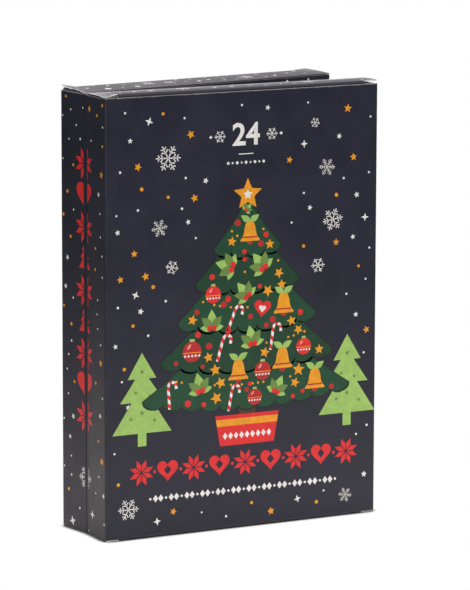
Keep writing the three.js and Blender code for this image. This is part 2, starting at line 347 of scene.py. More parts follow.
@dataclass
class Panel:
    """A flat printed face, seen from outside, with its lower left corner and its ways right and up."""

    body: str
    corner: Vector
    right: Vector
    up: Vector
    width: float = 0.0
    height: float = 0.0

    def place(self, x: float, z: float, turn: float, scale: Point, level: int) -> Matrix:
        """The matrix that lays a flat motif on the panel.

        Args:
            x: Distance to the right of the corner.
            z: Distance above the corner.
            turn: Angle of the motif in the panel's plane, in radians.
            scale: Scale of the motif along and across.
            level: Layer of ink that the motif lies on.

        Returns:
            The matrix from the motif's plane to the frame's coordinates.
        """
        normal = self.right.cross(self.up)
        origin = self.corner + self.right * x + self.up * z + normal * (level * INK_LAYER)
        basis = Matrix((self.right, self.up, normal)).transposed().to_4x4()
        turned = basis @ Matrix.Rotation(turn, 4, "Z") @ Matrix.Diagonal((*scale, 1, 1))
        return Matrix.Translation(origin) @ turned


@dataclass(frozen=True)
class Zone:
    """A rectangle of a face that scattered marks keep clear of, in millimetres."""

    left: float
    foot: float
    right: float
    head: float

    def holds(self, x: float, z: float, reach: float) -> bool:
        """Whether a mark of this reach would touch the rectangle."""
        return self.left - reach < x < self.right + reach and self.foot - reach < z < self.head + reach


class Book:
    """The two halves and their printed faces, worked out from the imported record."""

    def __init__(self, record_joints: Sequence[dict]) -> None:
        """Read the crease and the opening from the book's hinge.

        Args:
            record_joints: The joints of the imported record.
        """
        hinge = next(j for j in record_joints if j["name"] == "book_hinge")
        self.crease = Vector((*hinge["pos_m"][:2], 0.0))
        self.halves = {side: Half(side, self.crease, math.radians(-hinge["range_deg"][0])) for side in Side}

    def half_of(self, node: str) -> Half:
        """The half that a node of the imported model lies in.

        Args:
            node: The node's name.

        Returns:
            The half.
        """
        low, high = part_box(node)
        front = self.halves[Side.FRONT]
        return front if front.local((Vector(low) + Vector(high)) / 2).y > 0 else self.halves[Side.REAR]

    def zone(self, side: Side, node: str) -> Zone:
        """The rectangle that a door takes up on its inner panel, in millimetres.

        Args:
            side: The half that holds the door.
            node: The door's node.

        Returns:
            The rectangle.
        """
        panel = self.panel(side, Wall.INNER)
        corners = [v.co - panel.corner for v in frame["nodes"][node].data.vertices]
        across, high = ([c.dot(way) / MM for c in corners] for way in (panel.right, panel.up))
        return Zone(min(across), min(high), max(across), max(high))

    def panel(self, side: Side, wall: Wall, body: str = "") -> Panel:
        """A printed face of a half.

        Args:
            side: Which half.
            wall: Which wall of it.
            body: The body that it rides on, where that isn't the half.

        Returns:
            The face.
        """
        half = self.halves[side]
        wide, from_spine, stands = wall.value
        reach = SIZES.width if wide else SIZES.depth
        start, way = (0.0, 1.0) if from_spine == (side is Side.FRONT) else (reach, -1.0)
        corner = half.point(start, stands, 0) if wide else half.point(stands, start, 0)
        right = half.way(way, 0, 0) if wide else half.way(0, way, 0)
        return Panel(body or half.body, corner, right, UP, reach, SIZES.top)


# Finishes


class Graph:
    """A node tree in the making, with short ways to add nodes."""

    def __init__(self, tree: NodeTree) -> None:
        """Take the tree and add its coordinates."""
        self.tree = tree
        self.coordinates = self.node("TexCoord").outputs

    def node(self, kind: str, inputs: dict[str | int, object] | None = None, **settings: object) -> Node:
        """Add a node.

        Args:
            kind: The kind of shader node.
            inputs: What its inputs are fed, by their name or number.
            settings: Its properties.

        Returns:
            The node.
        """
        made = self.tree.nodes.new(f"ShaderNode{kind}")
        for key, value in settings.items():
            setattr(made, key, value)
        self.feed(made, inputs or {})
        return made

    def feed(self, node: Node, inputs: dict[str | int, object]) -> None:
        """Link a node's inputs to other nodes' outputs, or set them to constants.

        Args:
            node: The node.
            inputs: Outputs or constants by the input's name or number.
        """
        for key, value in inputs.items():
            if isinstance(value, NodeSocket):
                self.tree.links.new(value, node.inputs[key])
            else:
                node.inputs[key].default_value = (*value, 1.0) if node.inputs[key].type == "RGBA" else value

    def math(self, operation: str, first: object, *others: object) -> NodeSocket:
        """Take values or sockets together, one after another.

        Args:
            operation: What is done with them.
            first: The first of them.
            others: The rest.

        Returns:
            The result.
        """
        for other in others:
            first = self.node("Math", {0: first, 1: other}, operation=operation).outputs[0]
        return first

    def span(self, value: object, low: float, high: float, start: float = 0.0, end: float = 1.0,
             ease: str = "SMOOTHSTEP") -> NodeSocket:
        """A value eased from low..high to start..end.

        Args:
            value: The value to change.
            low: Where the change begins.
            high: Where it ends.
            start: The result at the beginning.
            end: The result at the end.
            ease: The kind of change.

        Returns:
            The result.
        """
        inputs = {"Value": value, "From Min": low, "From Max": high, "To Min": start, "To Max": end}
        return self.node("MapRange", inputs, interpolation_type=ease).outputs["Result"]

    def seen(self, others: NodeSocket, camera: NodeSocket, output: str) -> None:
        """Show one shader to the camera and another to all other rays.

        Args:
            others: What all other rays meet.
            camera: What the camera sees.
            output: The name of the tree's output.
        """
        to_camera = self.node("LightPath").outputs["Is Camera Ray"]
        chosen = self.node("MixShader", {0: to_camera, 1: others, 2: camera}).outputs[0]
        self.feed(self.tree.nodes[output], {"Surface": chosen})


class Shader(Graph):
    """A material in the making."""

    def __init__(self, name: str) -> None:
        """Start a material of this name with a Principled shader."""
        self.material = bpy.data.materials.new(name)
        self.material.use_nodes = True
        super().__init__(self.material.node_tree)
        self.surface = self.tree.nodes["Principled BSDF"]

    def noise(self, scale: float, detail: float = 3.0, rough: float = 0.5) -> NodeSocket:
        """A noise from 0 to 1 of so many cells per metre."""
        inputs = {"Vector": self.coordinates["Object"], "Scale": scale, "Detail": detail, "Roughness": rough}
        return self.node("TexNoise", inputs).outputs["Fac"]

    def cloud(self, noise: Sequence[float], low: float = 0.3, high: float = 0.7, start: float = 0.0,
              end: float = 1.0) -> NodeSocket:
        """A noise eased from low..high to start..end."""
        return self.span(self.noise(*noise), low, high, start, end)

    def gap(self, value: NodeSocket, low: float, high: float) -> NodeSocket:
        """The distance of a value from the nearer of two planes."""
        gaps = (self.math("ABSOLUTE", self.math("SUBTRACT", value, plane), 0.0) for plane in (low, high))
        return self.math("MINIMUM", *gaps)

    def mix(self, share: object, first: object, second: object) -> NodeSocket:
        """A mix of two colours."""
        return self.node("Mix", {0: share, 6: first, 7: second}, data_type="RGBA").outputs[2]

    def mottled(self, share: object, colour: Colour, low: float, high: float = 1.0) -> NodeSocket:
        """A colour that changes between two shares of itself."""
        return self.mix(share, *([part * times for part in colour] for times in (low, high)))

    def bump(self, height: object, distance: float, strength: float = 1.0,
             under: NodeSocket | None = None) -> NodeSocket:
        """A bumped normal of so much height, over another one where given.

        Args:
            height: The height's share.
            distance: The height at a share of one.
            strength: How much of it counts.
            under: The normal under it.

        Returns:
            The normal.
        """
        inputs = {"Height": height, "Distance": distance, "Strength": strength}
        return self.node("Bump", inputs | ({"Normal": under} if under else {})).outputs["Normal"]

    def in_half(self, half: Half) -> Sequence[NodeSocket]:
        """The place as x, y and z from the foot of the crease, turned with the half.

        Args:
            half: The half.

        Returns:
            The three values.
        """
        back = Matrix.Rotation(-half.turn, 3, "Z") @ half.crease
        inputs = {"Vector": self.coordinates["Object"], "Rotation": (0.0, 0.0, -half.turn), "Location": -back}
        return self.node("SeparateXYZ", {0: self.node("Mapping", inputs).outputs[0]}).outputs

    def finish(self, inputs: dict[str, object]) -> Material:
        """Feed the surface and hand over the material."""
        self.feed(self.surface, inputs)
        return self.material


@dataclass(frozen=True)
class BoardGrain:
    """The fine grain and slow waves that all printed board shares."""

    roughness: Point = (0.34, 0.46)
    patches: Place = (34.0, 4.0, 0.6)
    grain_scale: float = 1500.0
    grain_height: float = 0.0022 * MM
    wave_scale: float = 13.0
    wave_height: float = 0.9 * MM
    dent_scale: float = 60.0
    dent_height: float = 0.035 * MM

    def inputs(self, shader: Shader, under: NodeSocket | None = None) -> dict[str, NodeSocket]:
        """The board's roughness and bump, over another bump where given.

        Args:
            shader: The material in the making.
            under: The bump under it.

        Returns:
            The values by the surface's inputs.
        """
        waves = shader.bump(shader.noise(self.wave_scale, 1.0), self.wave_height, 0.5, under)
        dents = shader.bump(shader.noise(self.dent_scale, 2.0), self.dent_height, 0.5, waves)
        return {"Roughness": shader.cloud(self.patches, 0.25, 0.75, *self.roughness),
                "Normal": shader.bump(shader.noise(self.grain_scale, 2.0), self.grain_height, 1.0, dents)}


@dataclass(frozen=True)
class PrintedBoard:
    """Dark printed board with a satin coating, rubbed pale along its folds and cut edges."""

    name: str = "printed_board"
    colour: Colour = Ink.NAVY.value
    rubbed: Colour = (0.40, 0.385, 0.38)
    fold_reach: float = 1.5 * MM
    fold_wear: float = 0.22
    rim_reach: float = 1.1 * MM
    rim_line: Point = (0.15 * MM, 0.42 * MM)
    side_reach: Point = (0.3 * MM, 1.5 * MM)
    side_wear: float = 0.30
    foot_reach: Point = (2.0 * MM, 6.0 * MM)
    foot_wear: float = 0.12
    inner_reach: Point = (0.8 * MM, 3.0 * MM)
    inner_wear: float = 0.15
    flap_reach: Point = (1.0 * MM, 2.4 * MM)
    flap_wear: float = 0.10
    grain: BoardGrain = BoardGrain()

    def wear(self, shader: Shader, x: NodeSocket, y: NodeSocket, z: NodeSocket) -> NodeSocket:
        """How far the print is rubbed off, but for the foot.

        Args:
            shader: The material in the making.
            x: Distance from the spine.
            y: Depth from the closing plane.
            z: Height.

        Returns:
            The share, from 0 to 1.
        """
        across, deep = shader.gap(x, 0.0, SIZES.width), shader.gap(y, 0.0, SIZES.depth)
        high = shader.gap(z, SIZES.foot, SIZES.top)
        fold = shader.span(shader.math("MAXIMUM", across, deep), 0.0, self.fold_reach, self.fold_wear, 0.0)
        rim = shader.span(high, 0.0, self.rim_reach, 1.0, 0.0)
        rubs = shader.cloud((120.0, 5.0, 0.7), 0.42, 0.66)
        specks = shader.cloud((900.0, 2.0), 0.40, 0.60, 0.45)
        line = shader.math("MULTIPLY", shader.span(high, *self.rim_line, 1.0, 0.0),
                           shader.cloud((75.0, 3.0), 0.30, 0.55, 0.45))
        share = shader.math("MULTIPLY", shader.math("MAXIMUM", fold, rim), rubs, specks)
        wall = shader.span(shader.math("MINIMUM", across, deep), *self.flap_reach, 1.0, self.flap_wear)
        return shader.math("MULTIPLY", shader.math("MAXIMUM", share, line), wall,
                           shader.span(across, *self.side_reach, self.side_wear),
                           shader.span(y, *self.inner_reach, self.inner_wear))

    def coat(self, shader: Shader, y: NodeSocket) -> dict[str, NodeSocket]:
        """The coating's grain and sheen."""
        return self.grain.inputs(shader)

    def material(self, half: Half) -> Material:
        """Build the material, whose wear, and on a lid the painted highlight, follows the folds of one half.

        Args:
            half: The half whose folds the wear follows.

        Returns:
            The material.
        """
        shader = Shader(f"{self.name}_{half.side.value}")
        x, y, z = shader.in_half(half)
        y = shader.math("ABSOLUTE", y, 0.0)
        ground = shader.mottled(shader.cloud((22.0, 5.0, 0.6)), self.colour, 0.88, 1.16)
        foot = shader.span(z, *self.foot_reach, self.foot_wear)
        # On a lid this share also carries the painted highlight along the hinge and at the corners.
        wear = shader.math("MULTIPLY", self.wear(shader, x, y, z), foot)
        return shader.finish({"Base Color": shader.mix(wear, ground, self.rubbed), **self.coat(shader, y)})


@dataclass(frozen=True)
class LidBoard(PrintedBoard):
    """The same board on a lid, which bulges a little and whitens at its tucked corners, partly rubbed and
    partly a painted highlight, with a painted highlight band along its hinge.
    """

    name: str = "lid_board"
    colour: Colour = (0.0215, 0.0138, 0.0262)
    # Pale enough to serve as the painted hinge and corner highlight as well as the rubbed ends.
    rubbed: Colour = (0.62, 0.60, 0.61)
    crown: float = 0.8 * MM
    hinge_reach: Point = (9.0 * MM, 24.0 * MM)
    hinge_wear: float = 0.0
    end_reach: float = 1.2 * MM
    end_wear: float = 0.30
    corner_reach: Point = (5.0 * MM, 13.0 * MM)
    corner_depth: Point = (6.0 * MM, 22.0 * MM)
    corner_wear: float = 0.26

    def wear(self, shader: Shader, x: NodeSocket, y: NodeSocket, z: NodeSocket) -> NodeSocket:
        """How far the print is rubbed off at the ends and at the corners by the fold, with a painted
        highlight along the hinge and at those corners.

        Args:
            shader: The material in the making.
            x: Distance from the spine.
            y: Depth from the closing plane.
            z: Height; not used.

        Returns:
            The share, from 0 to 1.
        """
        across = shader.gap(x, 0.0, SIZES.width)
        ends = shader.span(across, 0.0, self.end_reach, self.end_wear, 0.0)
        # The corners by the fold: rubbed board with a painted highlight where the tucked tabs tilt to the
        # light.
        corners = shader.math("MULTIPLY", shader.span(across, *self.corner_reach, self.corner_wear, 0.0),
                              shader.span(y, *self.corner_depth, 0.2))
        streaks = shader.cloud((260.0, 3.0, 0.6), 0.30, 0.62)
        # Painted highlight: a pale band along the hinge stands in for the grazing reflection there.
        sheen = shader.math("MULTIPLY", shader.span(y, *self.hinge_reach, self.hinge_wear, 0.0),
                            shader.cloud((90.0, 4.0, 0.6), 0.25, 0.60, 0.70))
        share = shader.math("MULTIPLY", shader.math("MAXIMUM", ends, corners), streaks)
        return shader.math("MAXIMUM", share, sheen)

    def coat(self, shader: Shader, y: NodeSocket) -> dict[str, NodeSocket]:
        """The coating, on board that bulges from the hinge to the rolled fold."""
        share = shader.math("DIVIDE", y, SIZES.lid_fold_depth)
        bulge = shader.math("MULTIPLY", share, shader.math("SUBTRACT", 1.0, share), 4.0)
        return self.grain.inputs(shader, shader.bump(bulge, self.crown))


def ink_material(ink: Ink) -> Material:
    """Build the material of one ink, under the same coating as the board.

    Args:
        ink: Which ink.

    Returns:
        The material.
    """
    shader = Shader(f"ink_{ink.name.lower()}")
    tint = shader.mottled(shader.cloud((160.0, 4.0, 0.6)), ink.value, 0.90, 1.07)
    dots = shader.cloud((2600.0, 1.0), 0.35, 0.65)
    worn = shader.mix(dots, tint, shader.mix(0.12, tint, Ink.NAVY.value))
    return shader.finish({"Base Color": worn, **BoardGrain().inputs(shader)})


@dataclass(frozen=True)
class RawBoard:
    """The board's own fibres: white at the cut edges, greyer on the unprinted side."""

    name: str
    colour: Colour
    fleck: Colour
    roughness: Point = (0.78, 0.94)

    def material(self) -> Material:
        """Build the material."""
        shader = Shader(self.name)
        fibres = shader.cloud((700.0, 6.0, 0.75), 0.35, 0.70)
        paper = shader.mottled(fibres, self.colour, 0.90)
        return shader.finish({
            "Base Color": shader.mix(shader.cloud((2400.0, 2.0), 0.58, 0.72), paper, self.fleck),
            "Roughness": shader.span(fibres, 0.0, 1.0, *self.roughness),
            "Normal": shader.bump(shader.noise(1600.0, 4.0, 0.7), 0.012 * MM)})


@dataclass(frozen=True)
class FormedSheet:
    """Thin thermoformed sheet in glossy gold brown."""

    colour: Colour = (0.46, 0.27, 0.085)
    roughness: Point = (0.16, 0.30)

    def material(self) -> Material:
        """Build the material."""
        shader = Shader("formed_sheet")
        return shader.finish({
            "Base Color": shader.mottled(shader.cloud((46.0, 3.0)), self.colour, 0.86),
            "Roughness": shader.cloud((150.0, 3.0), 0.3, 0.7, *self.roughness), "Metallic": 0.35,
            "Normal": shader.bump(shader.noise(75.0, 2.0), 0.06 * MM, 0.6)})


@dataclass(frozen=True)
class MilkChocolate:
    """Moulded milk chocolate with a soft sheen and a little bloom."""

    colour: Colour = (0.082, 0.030, 0.012)
    bloom: Colour = (0.16, 0.085, 0.050)
    roughness: Point = (0.30, 0.48)

    def material(self) -> Material:
        """Build the material."""
        shader = Shader("milk_chocolate")
        body = shader.mottled(shader.cloud((60.0, 4.0)), self.colour, 0.86, 1.12)
        bloom = shader.cloud((210.0, 5.0, 0.7), 0.60, 0.86, 0.0, 0.4)
        return shader.finish({
            "Base Color": shader.mix(bloom, body, self.bloom),
            "Roughness": shader.cloud((130.0, 3.0), 0.3, 0.7, *self.roughness), "Subsurface Weight": 0.05,
            "Subsurface Scale": 1.0 * MM, "Normal": shader.bump(shader.noise(420.0, 3.0), 0.02 * MM)})


class Palette:
    """Every finish of the calendar, built once."""

    def __init__(self, book: Book) -> None:
        """Build the materials.

        Args:
            book: The book, whose halves place the wear.
        """
        self.board = {side: PrintedBoard().material(book.halves[side]) for side in Side}
        # The front lid carries the painted highlight band along its hinge.
        worn = {Side.FRONT: LidBoard(colour=(0.0155, 0.0133, 0.0270), hinge_wear=0.42), Side.REAR: LidBoard()}
        self.lid = {side: worn[side].material(book.halves[side]) for side in Side}
        self.inks = {ink: ink_material(ink) for ink in Ink}
        self.cut = RawBoard("cut_edge", (0.80, 0.79, 0.76), (0.60, 0.57, 0.52)).material()
        self.back = RawBoard("board_back", (0.60, 0.585, 0.55), (0.42, 0.39, 0.35)).material()
        self.sheet = FormedSheet().material()
        self.chocolate = MilkChocolate().material()


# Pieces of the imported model


class Face(Enum):
    """What a face of the board shows, in the order of the material slots."""

    PRINTED = 0
    CUT = 1
    BACK = 2


class PackedPiece:
    """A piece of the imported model: a merged, smoothed copy of its node, dressed and set on its body."""

    made_of = "board"
    slot = "printed_board"

    def __init__(self, node: str, half: Half, body: str = "") -> None:
        """Name the piece.

        Args:
            node: The node that the piece stands for.
            half: The half that holds it.
            body: The body that it rides on, where that isn't the half.
        """
        self.node, self.half, self.body = node, half, body or half.body

    def soften(self, piece: Object) -> None:
        """Work on the copy before it is smoothed, where a piece needs that."""

    def dress(self, mesh: Mesh, palette: Palette) -> None:
        """Give the mesh its finishes."""
        raise NotImplementedError

    def build(self, palette: Palette) -> Object:
        """Copy the node's mesh, merge and smooth it, and dress it.

        Args:
            palette: The finishes.

        Returns:
            The dressed piece.
        """
        mesh = frame["nodes"][self.node].data.copy()
        piece = link(f"{self.node}_{self.made_of}", mesh)
        close_up(piece, outward=False)
        self.soften(piece)
        smooth(piece)
        mesh.materials.clear()
        self.dress(mesh, palette)
        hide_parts(self.node)
        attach(piece, self.body)
        LOG.info("%s: %d faces on %s", piece.name, len(mesh.polygons), self.body)
        return piece


class BoardPiece(PackedPiece):
    """A piece of folded board, dressed face by face."""

    def face(self, centre: Vector, normal: Vector) -> Face:
        """What a face shows, from its centre and normal in the half's own frame."""
        raise NotImplementedError

    def finish(self, palette: Palette) -> Material:
        """The finish of the printed side."""
        return palette.board[self.half.side]

    def dress(self, mesh: Mesh, palette: Palette) -> None:
        """Give every face of the mesh what it shows.

        Args:
            mesh: The smoothed mesh.
            palette: The finishes.
        """
        for finish in (self.finish(palette), palette.cut, palette.back):
            mesh.materials.append(finish)
        for polygon in mesh.polygons:
            face = self.face(self.half.local(polygon.center), self.half.local_way(polygon.normal))
            polygon.material_index = face.value


class Carton(BoardPiece):
    """The folded tube with its windows, glue lap and dust flaps."""

    def face(self, centre: Vector, normal: Vector) -> Face:
        """Print outside and over the flaps' folds, board back inside, cut edges round windows and rims.

        Args:
            centre: The face's centre.
            normal: The way that it looks.

        Returns:
            What it shows.
        """
        inside_deep = SIZES.seam + SIZES.board * 1.5 < centre.y < SIZES.depth - SIZES.board * 1.5
        if abs(normal.z) > 0.7:
            if not inside_deep:
                return Face.CUT
            outward = normal.z > 0 if centre.z > SIZES.top / 2 else normal.z < 0
            return Face.PRINTED if outward else Face.BACK
        probe = centre + normal * SIZES.probe
        if not (0 < probe.x < SIZES.width and SIZES.seam < probe.y < SIZES.depth):
            return Face.PRINTED
        in_wall = probe.y < SIZES.seam + SIZES.board or probe.y > SIZES.depth - SIZES.board
        return Face.CUT if in_wall else Face.BACK


class Lid(BoardPiece):
    """A tuck-in lid with its rolled fold, slit locks and tuck flap."""

    def finish(self, palette: Palette) -> Material:
        """The lid's own finish."""
        return palette.lid[self.half.side]

    def face(self, centre: Vector, normal: Vector) -> Face:
        """Print outside, board back inside, and cut edges at the ends and tabs, but the bottom tabs' ends
        take the dark print as painted shade.

        Args:
            centre: The face's centre.
            normal: The way that it looks.

        Returns:
            What it shows.
        """
        upper = centre.z > SIZES.top / 2
        outward = normal.z if upper else -normal.z
        level = centre.z - SIZES.top if upper else SIZES.foot - centre.z
        in_tab = min(centre.x, SIZES.width - centre.x) < SIZES.slit_lock
        if abs(normal.x) > 0.7:
            # Painted shade: the bottom tabs' ends take the dark print in place of the pale cut edge, where
            # they sit in contact shade by the floor.
            painted_shade_end = not upper and in_tab and centre.y < SIZES.lid_fold_depth
            return Face.PRINTED if painted_shade_end else Face.CUT
        if in_tab and centre.y > SIZES.lid_fold_depth and normal.y > 0.7 and level > -SIZES.board:
            return Face.CUT
        if outward < -0.7 and level < -SIZES.slit_lock:
            return Face.CUT
        shown = outward > 0.05 or normal.y > 0.3 or centre.y < SIZES.board + SIZES.seam
        return Face.PRINTED if shown else Face.BACK


class Door(BoardPiece):
    """A die-cut door, hinged on its spine side."""

    slot = "door_board"

    def face(self, centre: Vector, normal: Vector) -> Face:
        """Print towards the other half, board back inside, cut edges all round."""
        if abs(normal.y) < 0.7:
            return Face.CUT
        return Face.PRINTED if normal.y < 0 else Face.BACK


class Tray(PackedPiece):
    """A thermoformed tray with its stepped pockets."""

    made_of = "sheet"
    slot = "tray_sheet"

    def dress(self, mesh: Mesh, palette: Palette) -> None:
        """Give the tray its one finish."""
        mesh.materials.append(palette.sheet)


class Chocolate(PackedPiece):
    """A square of moulded chocolate with a star on it and softened edges."""

    made_of = "moulded"
    slot = "milk_chocolate"
    softened = 0.35 * MM
    segments = 2
    sharp = math.radians(25)

    def soften(self, piece: Object) -> None:
        """Round the chocolate's sharp edges.

        Args:
            piece: The copied chocolate.
        """
        bevel = piece.modifiers.new("softened", "BEVEL")
        bevel.width = self.softened
        bevel.segments = self.segments
        bevel.limit_method = "ANGLE"
        bevel.angle_limit = self.sharp
        bpy.ops.object.modifier_apply(modifier=bevel.name)

    def dress(self, mesh: Mesh, palette: Palette) -> None:
        """Give the chocolate its one finish."""
        mesh.materials.append(palette.chocolate)


# Motifs of the print, at unit size


class Motif(Enum):
    """The flat shapes of the print that repeat."""

    DOT = auto()
    BALL = auto()
    STAR = auto()
    SPARKLE = auto()
    DIAMOND = auto()
    HEART = auto()
    PETAL_ROSE = auto()
    LEAF = auto()
    BELL = auto()
    CANE = auto()
    CANE_STRIPES = auto()
    FLAKE_BRANCHED = auto()
    FLAKE_FINE = auto()
    FLAKE_SMALL = auto()
    TREE = auto()
    BAR = auto()


@dataclass(frozen=True)
class FlakeArm:
    """One arm of a snowflake, at unit length: its bar, and branches as (place, length) along it."""

    bar: float
    branches: tuple[Point, ...]
    branch_bar: float
    branch_turn: float = math.radians(58)
    arms: int = 6


def mirrored(side: Sequence[Point], shared: int = 0) -> list[Point]:
    """An outline from its right side, whose first few points may stand on the middle line.

    Args:
        side: The right side, from the top down.
        shared: How many points stand there.

    Returns:
        The outline.
    """
    return list(side) + [(-x, y) for x, y in reversed(side[shared:])]


def heart(steps: int = 26) -> list[Point]:
    """The outline of a heart."""
    turns = [math.tau * i / steps for i in range(steps)]
    return [(math.sin(t) ** 3 * 0.98, (13 * math.cos(t) - 5 * math.cos(2 * t) - 2 * math.cos(3 * t)
                                      - math.cos(4 * t) + 2.4) / 16) for t in turns]


def leaf(steps: int = 7) -> list[Point]:
    """The outline of a pointed leaf, from its stalk at the middle outwards."""
    side = [(i / steps, 0.27 * math.sin(math.pi * (i / steps) ** 0.8)) for i in range(steps + 1)]
    return side + [(x, -y) for x, y in reversed(side[1:-1])]


def cane() -> list[Point]:
    """The middle line of a candy cane: a straight stem and a crook."""
    stem = [(-0.28, -1.0 + 0.145 * i) for i in range(11)]
    turns = [math.pi * i / 9 for i in range(1, 10)]
    crook = [(-0.28 + 0.29 * (1 - math.cos(t)), 0.45 + 0.33 * math.sin(t)) for t in turns]
    return stem + crook + [(0.30, 0.30)]


def ribbon(line: Sequence[Point], width: float = 0.2, skew: int = 0) -> list[Point]:
    """The outline of a ribbon.

    Args:
        line: Its middle line.
        width: Its width.
        skew: Steps by which one side runs ahead of the other, for a slanted end.

    Returns:
        The outline, once round.
    """
    left: list[Point] = []
    right: list[Point] = []
    for i, (x, y) in enumerate(line):
        before, after = line[max(i - 1, 0)], line[min(i + 1, len(line) - 1)]
        across = Vector((before[1] - after[1], after[0] - before[0])).normalized() * (width / 2)
        left.append((x + across.x, y + across.y))
        right.append((x - across.x, y - across.y))
    return left[skew:] + list(reversed(right[:len(right) - skew]))


BELL_SIDE = ((0.10, 1.0), (0.16, 0.86), (0.36, 0.72), (0.48, 0.36), (0.54, -0.05), (0.66, -0.38),
             (0.86, -0.58), (0.84, -0.72))
TREE_SIDE = ((0.0, 1.0), (0.30, 0.50), (0.14, 0.50), (0.46, 0.05), (0.22, 0.05), (0.62, -0.55),
             (0.09, -0.55), (0.09, -0.8))
BAR = ((-1.0, -0.5), (1.0, -0.5), (1.0, 0.5), (-1.0, 0.5))
PETAL = ((0.09, 0.035), (0.60, 0.035), (0.98, 0.40), (0.47, 0.40))


def flat(points: Sequence[Point]) -> Mesh:
    """A thin closed plate of ink with this outline."""
    return keep_mesh(plate("outline", points, INK_PLATE, INK_MIDDLE))


def together(outlines: Iterable[Sequence[Point]]) -> Mesh:
    """Plates of ink with these outlines, joined into one motif."""
    return keep_mesh(join("plates", [link("plate", flat(points)) for points in outlines]))


def petals() -> list[list[Point]]:
    """The knitter's rose: eight slanted petals in four pairs."""
    turns = [Matrix.Rotation(math.pi / 2 * quarter, 2) for quarter in range(4)]
    return [[tuple(turn @ Vector((x, y * side))) for x, y in PETAL] for turn in turns for side in (1, -1)]


def spoked(corners: int, waist: float = 1.0) -> Mesh:
    """A round plate whose every other corner is drawn in: a dot, a star or a sparkle.

    Args:
        corners: The number of corners round it.
        waist: How far out the inner corners stand.

    Returns:
        The plate's mesh, with one outer corner upwards.
    """
    deselect()
    bpy.ops.mesh.primitive_cylinder_add(vertices=corners, radius=1, depth=INK_PLATE, end_fill_type="NGON",
                                        location=(0, 0, INK_MIDDLE))
    piece = bpy.context.object
    if waist < 1.0:
        bpy.ops.object.mode_set(mode="EDIT")
        bpy.ops.mesh.select_mode(type="VERT")
        bpy.ops.mesh.select_all(action="DESELECT")
        bpy.ops.object.mode_set(mode="OBJECT")
        for vertex in piece.data.vertices:
            step = round(math.degrees(math.atan2(vertex.co.x, vertex.co.y)) / (360 / corners))
            vertex.select = step % 2 != 0
        bpy.ops.object.mode_set(mode="EDIT")
        bpy.ops.transform.resize(value=(waist, waist, 1.0), center_override=(0, 0, 0))
    bpy.ops.object.mode_set(mode="OBJECT")
    return keep_mesh(piece)


def flake(arm: FlakeArm) -> Mesh:
    """A snowflake: one arm of thin bars, spun round the middle.

    Args:
        arm: The arm's sizes.

    Returns:
        The snowflake's mesh.
    """
    deselect()
    bpy.ops.mesh.primitive_cube_add(size=1, location=(0.5, 0, INK_MIDDLE), scale=(1.0, arm.bar, INK_PLATE))
    piece = bpy.context.object
    settle(piece)
    bpy.ops.object.mode_set(mode="EDIT")
    for at, length in arm.branches:
        for turn in (-arm.branch_turn, arm.branch_turn):
            middle = (at + math.cos(turn) * length / 2, math.sin(turn) * length / 2, INK_MIDDLE)
            bpy.ops.mesh.primitive_cube_add(size=1, location=middle, rotation=(0, 0, turn),
                                            scale=(length, arm.branch_bar, INK_PLATE))
    bpy.ops.mesh.select_all(action="SELECT")
    bpy.ops.mesh.spin(steps=arm.arms - 1, dupli=True, angle=math.tau * (arm.arms - 1) / arm.arms,
                      center=(0, 0, 0), axis=(0, 0, 1))
    close_up(piece, merge=False)
    return keep_mesh(piece)


def figure(text: str) -> Mesh:
    """A number in plain round figures, one unit high and centred.

    Args:
        text: The figures.

    Returns:
        Their mesh.
    """
    deselect()
    bpy.ops.object.text_add()
    written = bpy.context.object.data
    written.body = text
    written.align_x = "CENTER"
    written.align_y = "CENTER"
    written.size = 1.37
    written.offset = 0.028
    written.resolution_u = 4
    written.extrude = INK_PLATE / 2
    return keep_mesh(to_mesh(bpy.context.object, INK_MIDDLE))


class MotifBox:
    """Every repeating motif, modelled once at unit size, and the figures from 1 to 24."""

    def __init__(self) -> None:
        """Model the motifs."""
        line = cane()
        self.meshes: dict[Motif, Mesh] = {
            Motif.DOT: spoked(8), Motif.BALL: spoked(24), Motif.STAR: spoked(10, 0.46),
            Motif.SPARKLE: spoked(8, 0.36), Motif.DIAMOND: spoked(4), Motif.HEART: flat(heart()),
            Motif.PETAL_ROSE: together(petals()), Motif.LEAF: flat(leaf()),
            Motif.BELL: flat(mirrored(BELL_SIDE)), Motif.CANE: flat(ribbon(line)),
            Motif.CANE_STRIPES: together(ribbon(line[i:i + 4], skew=1) for i in range(0, len(line) - 3, 4)),
            Motif.TREE: flat(mirrored(TREE_SIDE, 1)), Motif.BAR: flat(BAR),
            Motif.FLAKE_BRANCHED: flake(FlakeArm(0.085, ((0.42, 0.34), (0.68, 0.28)), 0.080)),
            Motif.FLAKE_FINE: flake(FlakeArm(0.070, ((0.30, 0.20), (0.52, 0.30), (0.76, 0.22)), 0.062)),
            Motif.FLAKE_SMALL: flake(FlakeArm(0.130, ((0.58, 0.34),), 0.120)),
        }
        self.figures = {number: figure(str(number)) for number in range(1, 25)}
        LOG.info("motifs: %d shapes and %d figures", len(self.meshes), len(self.figures))

    def cut(self, motif: Motif, at: float, keep_right: bool) -> Mesh:
        """A copy of a motif, cut by an upright line, of which one side is kept.

        Args:
            motif: Which one.
            at: Where the line crosses the motif, at unit size.
            keep_right: Whether the part to the right of the line stays.

        Returns:
            The closed part of the motif.
        """
        piece = link("cut", self.meshes[motif].copy())
        activate(piece)
        bpy.ops.object.mode_set(mode="EDIT")
        bpy.ops.mesh.select_all(action="SELECT")
        bpy.ops.mesh.bisect(plane_co=(at, 0, 0), plane_no=(1, 0, 0), use_fill=True, clear_inner=keep_right,
                            clear_outer=not keep_right)
        close_up(piece, merge=False)
        return keep_mesh(piece)


# Sheets of print


@dataclass(frozen=True)
class Mark:
    """A motif in a group: its ink, its place from the group's middle, and how it is stamped."""

    motif: Motif
    ink: Ink | None
    x: float
    z: float
    size: float
    turn: float = 0.0
    level: int = 0
    squeeze: float = 1.0


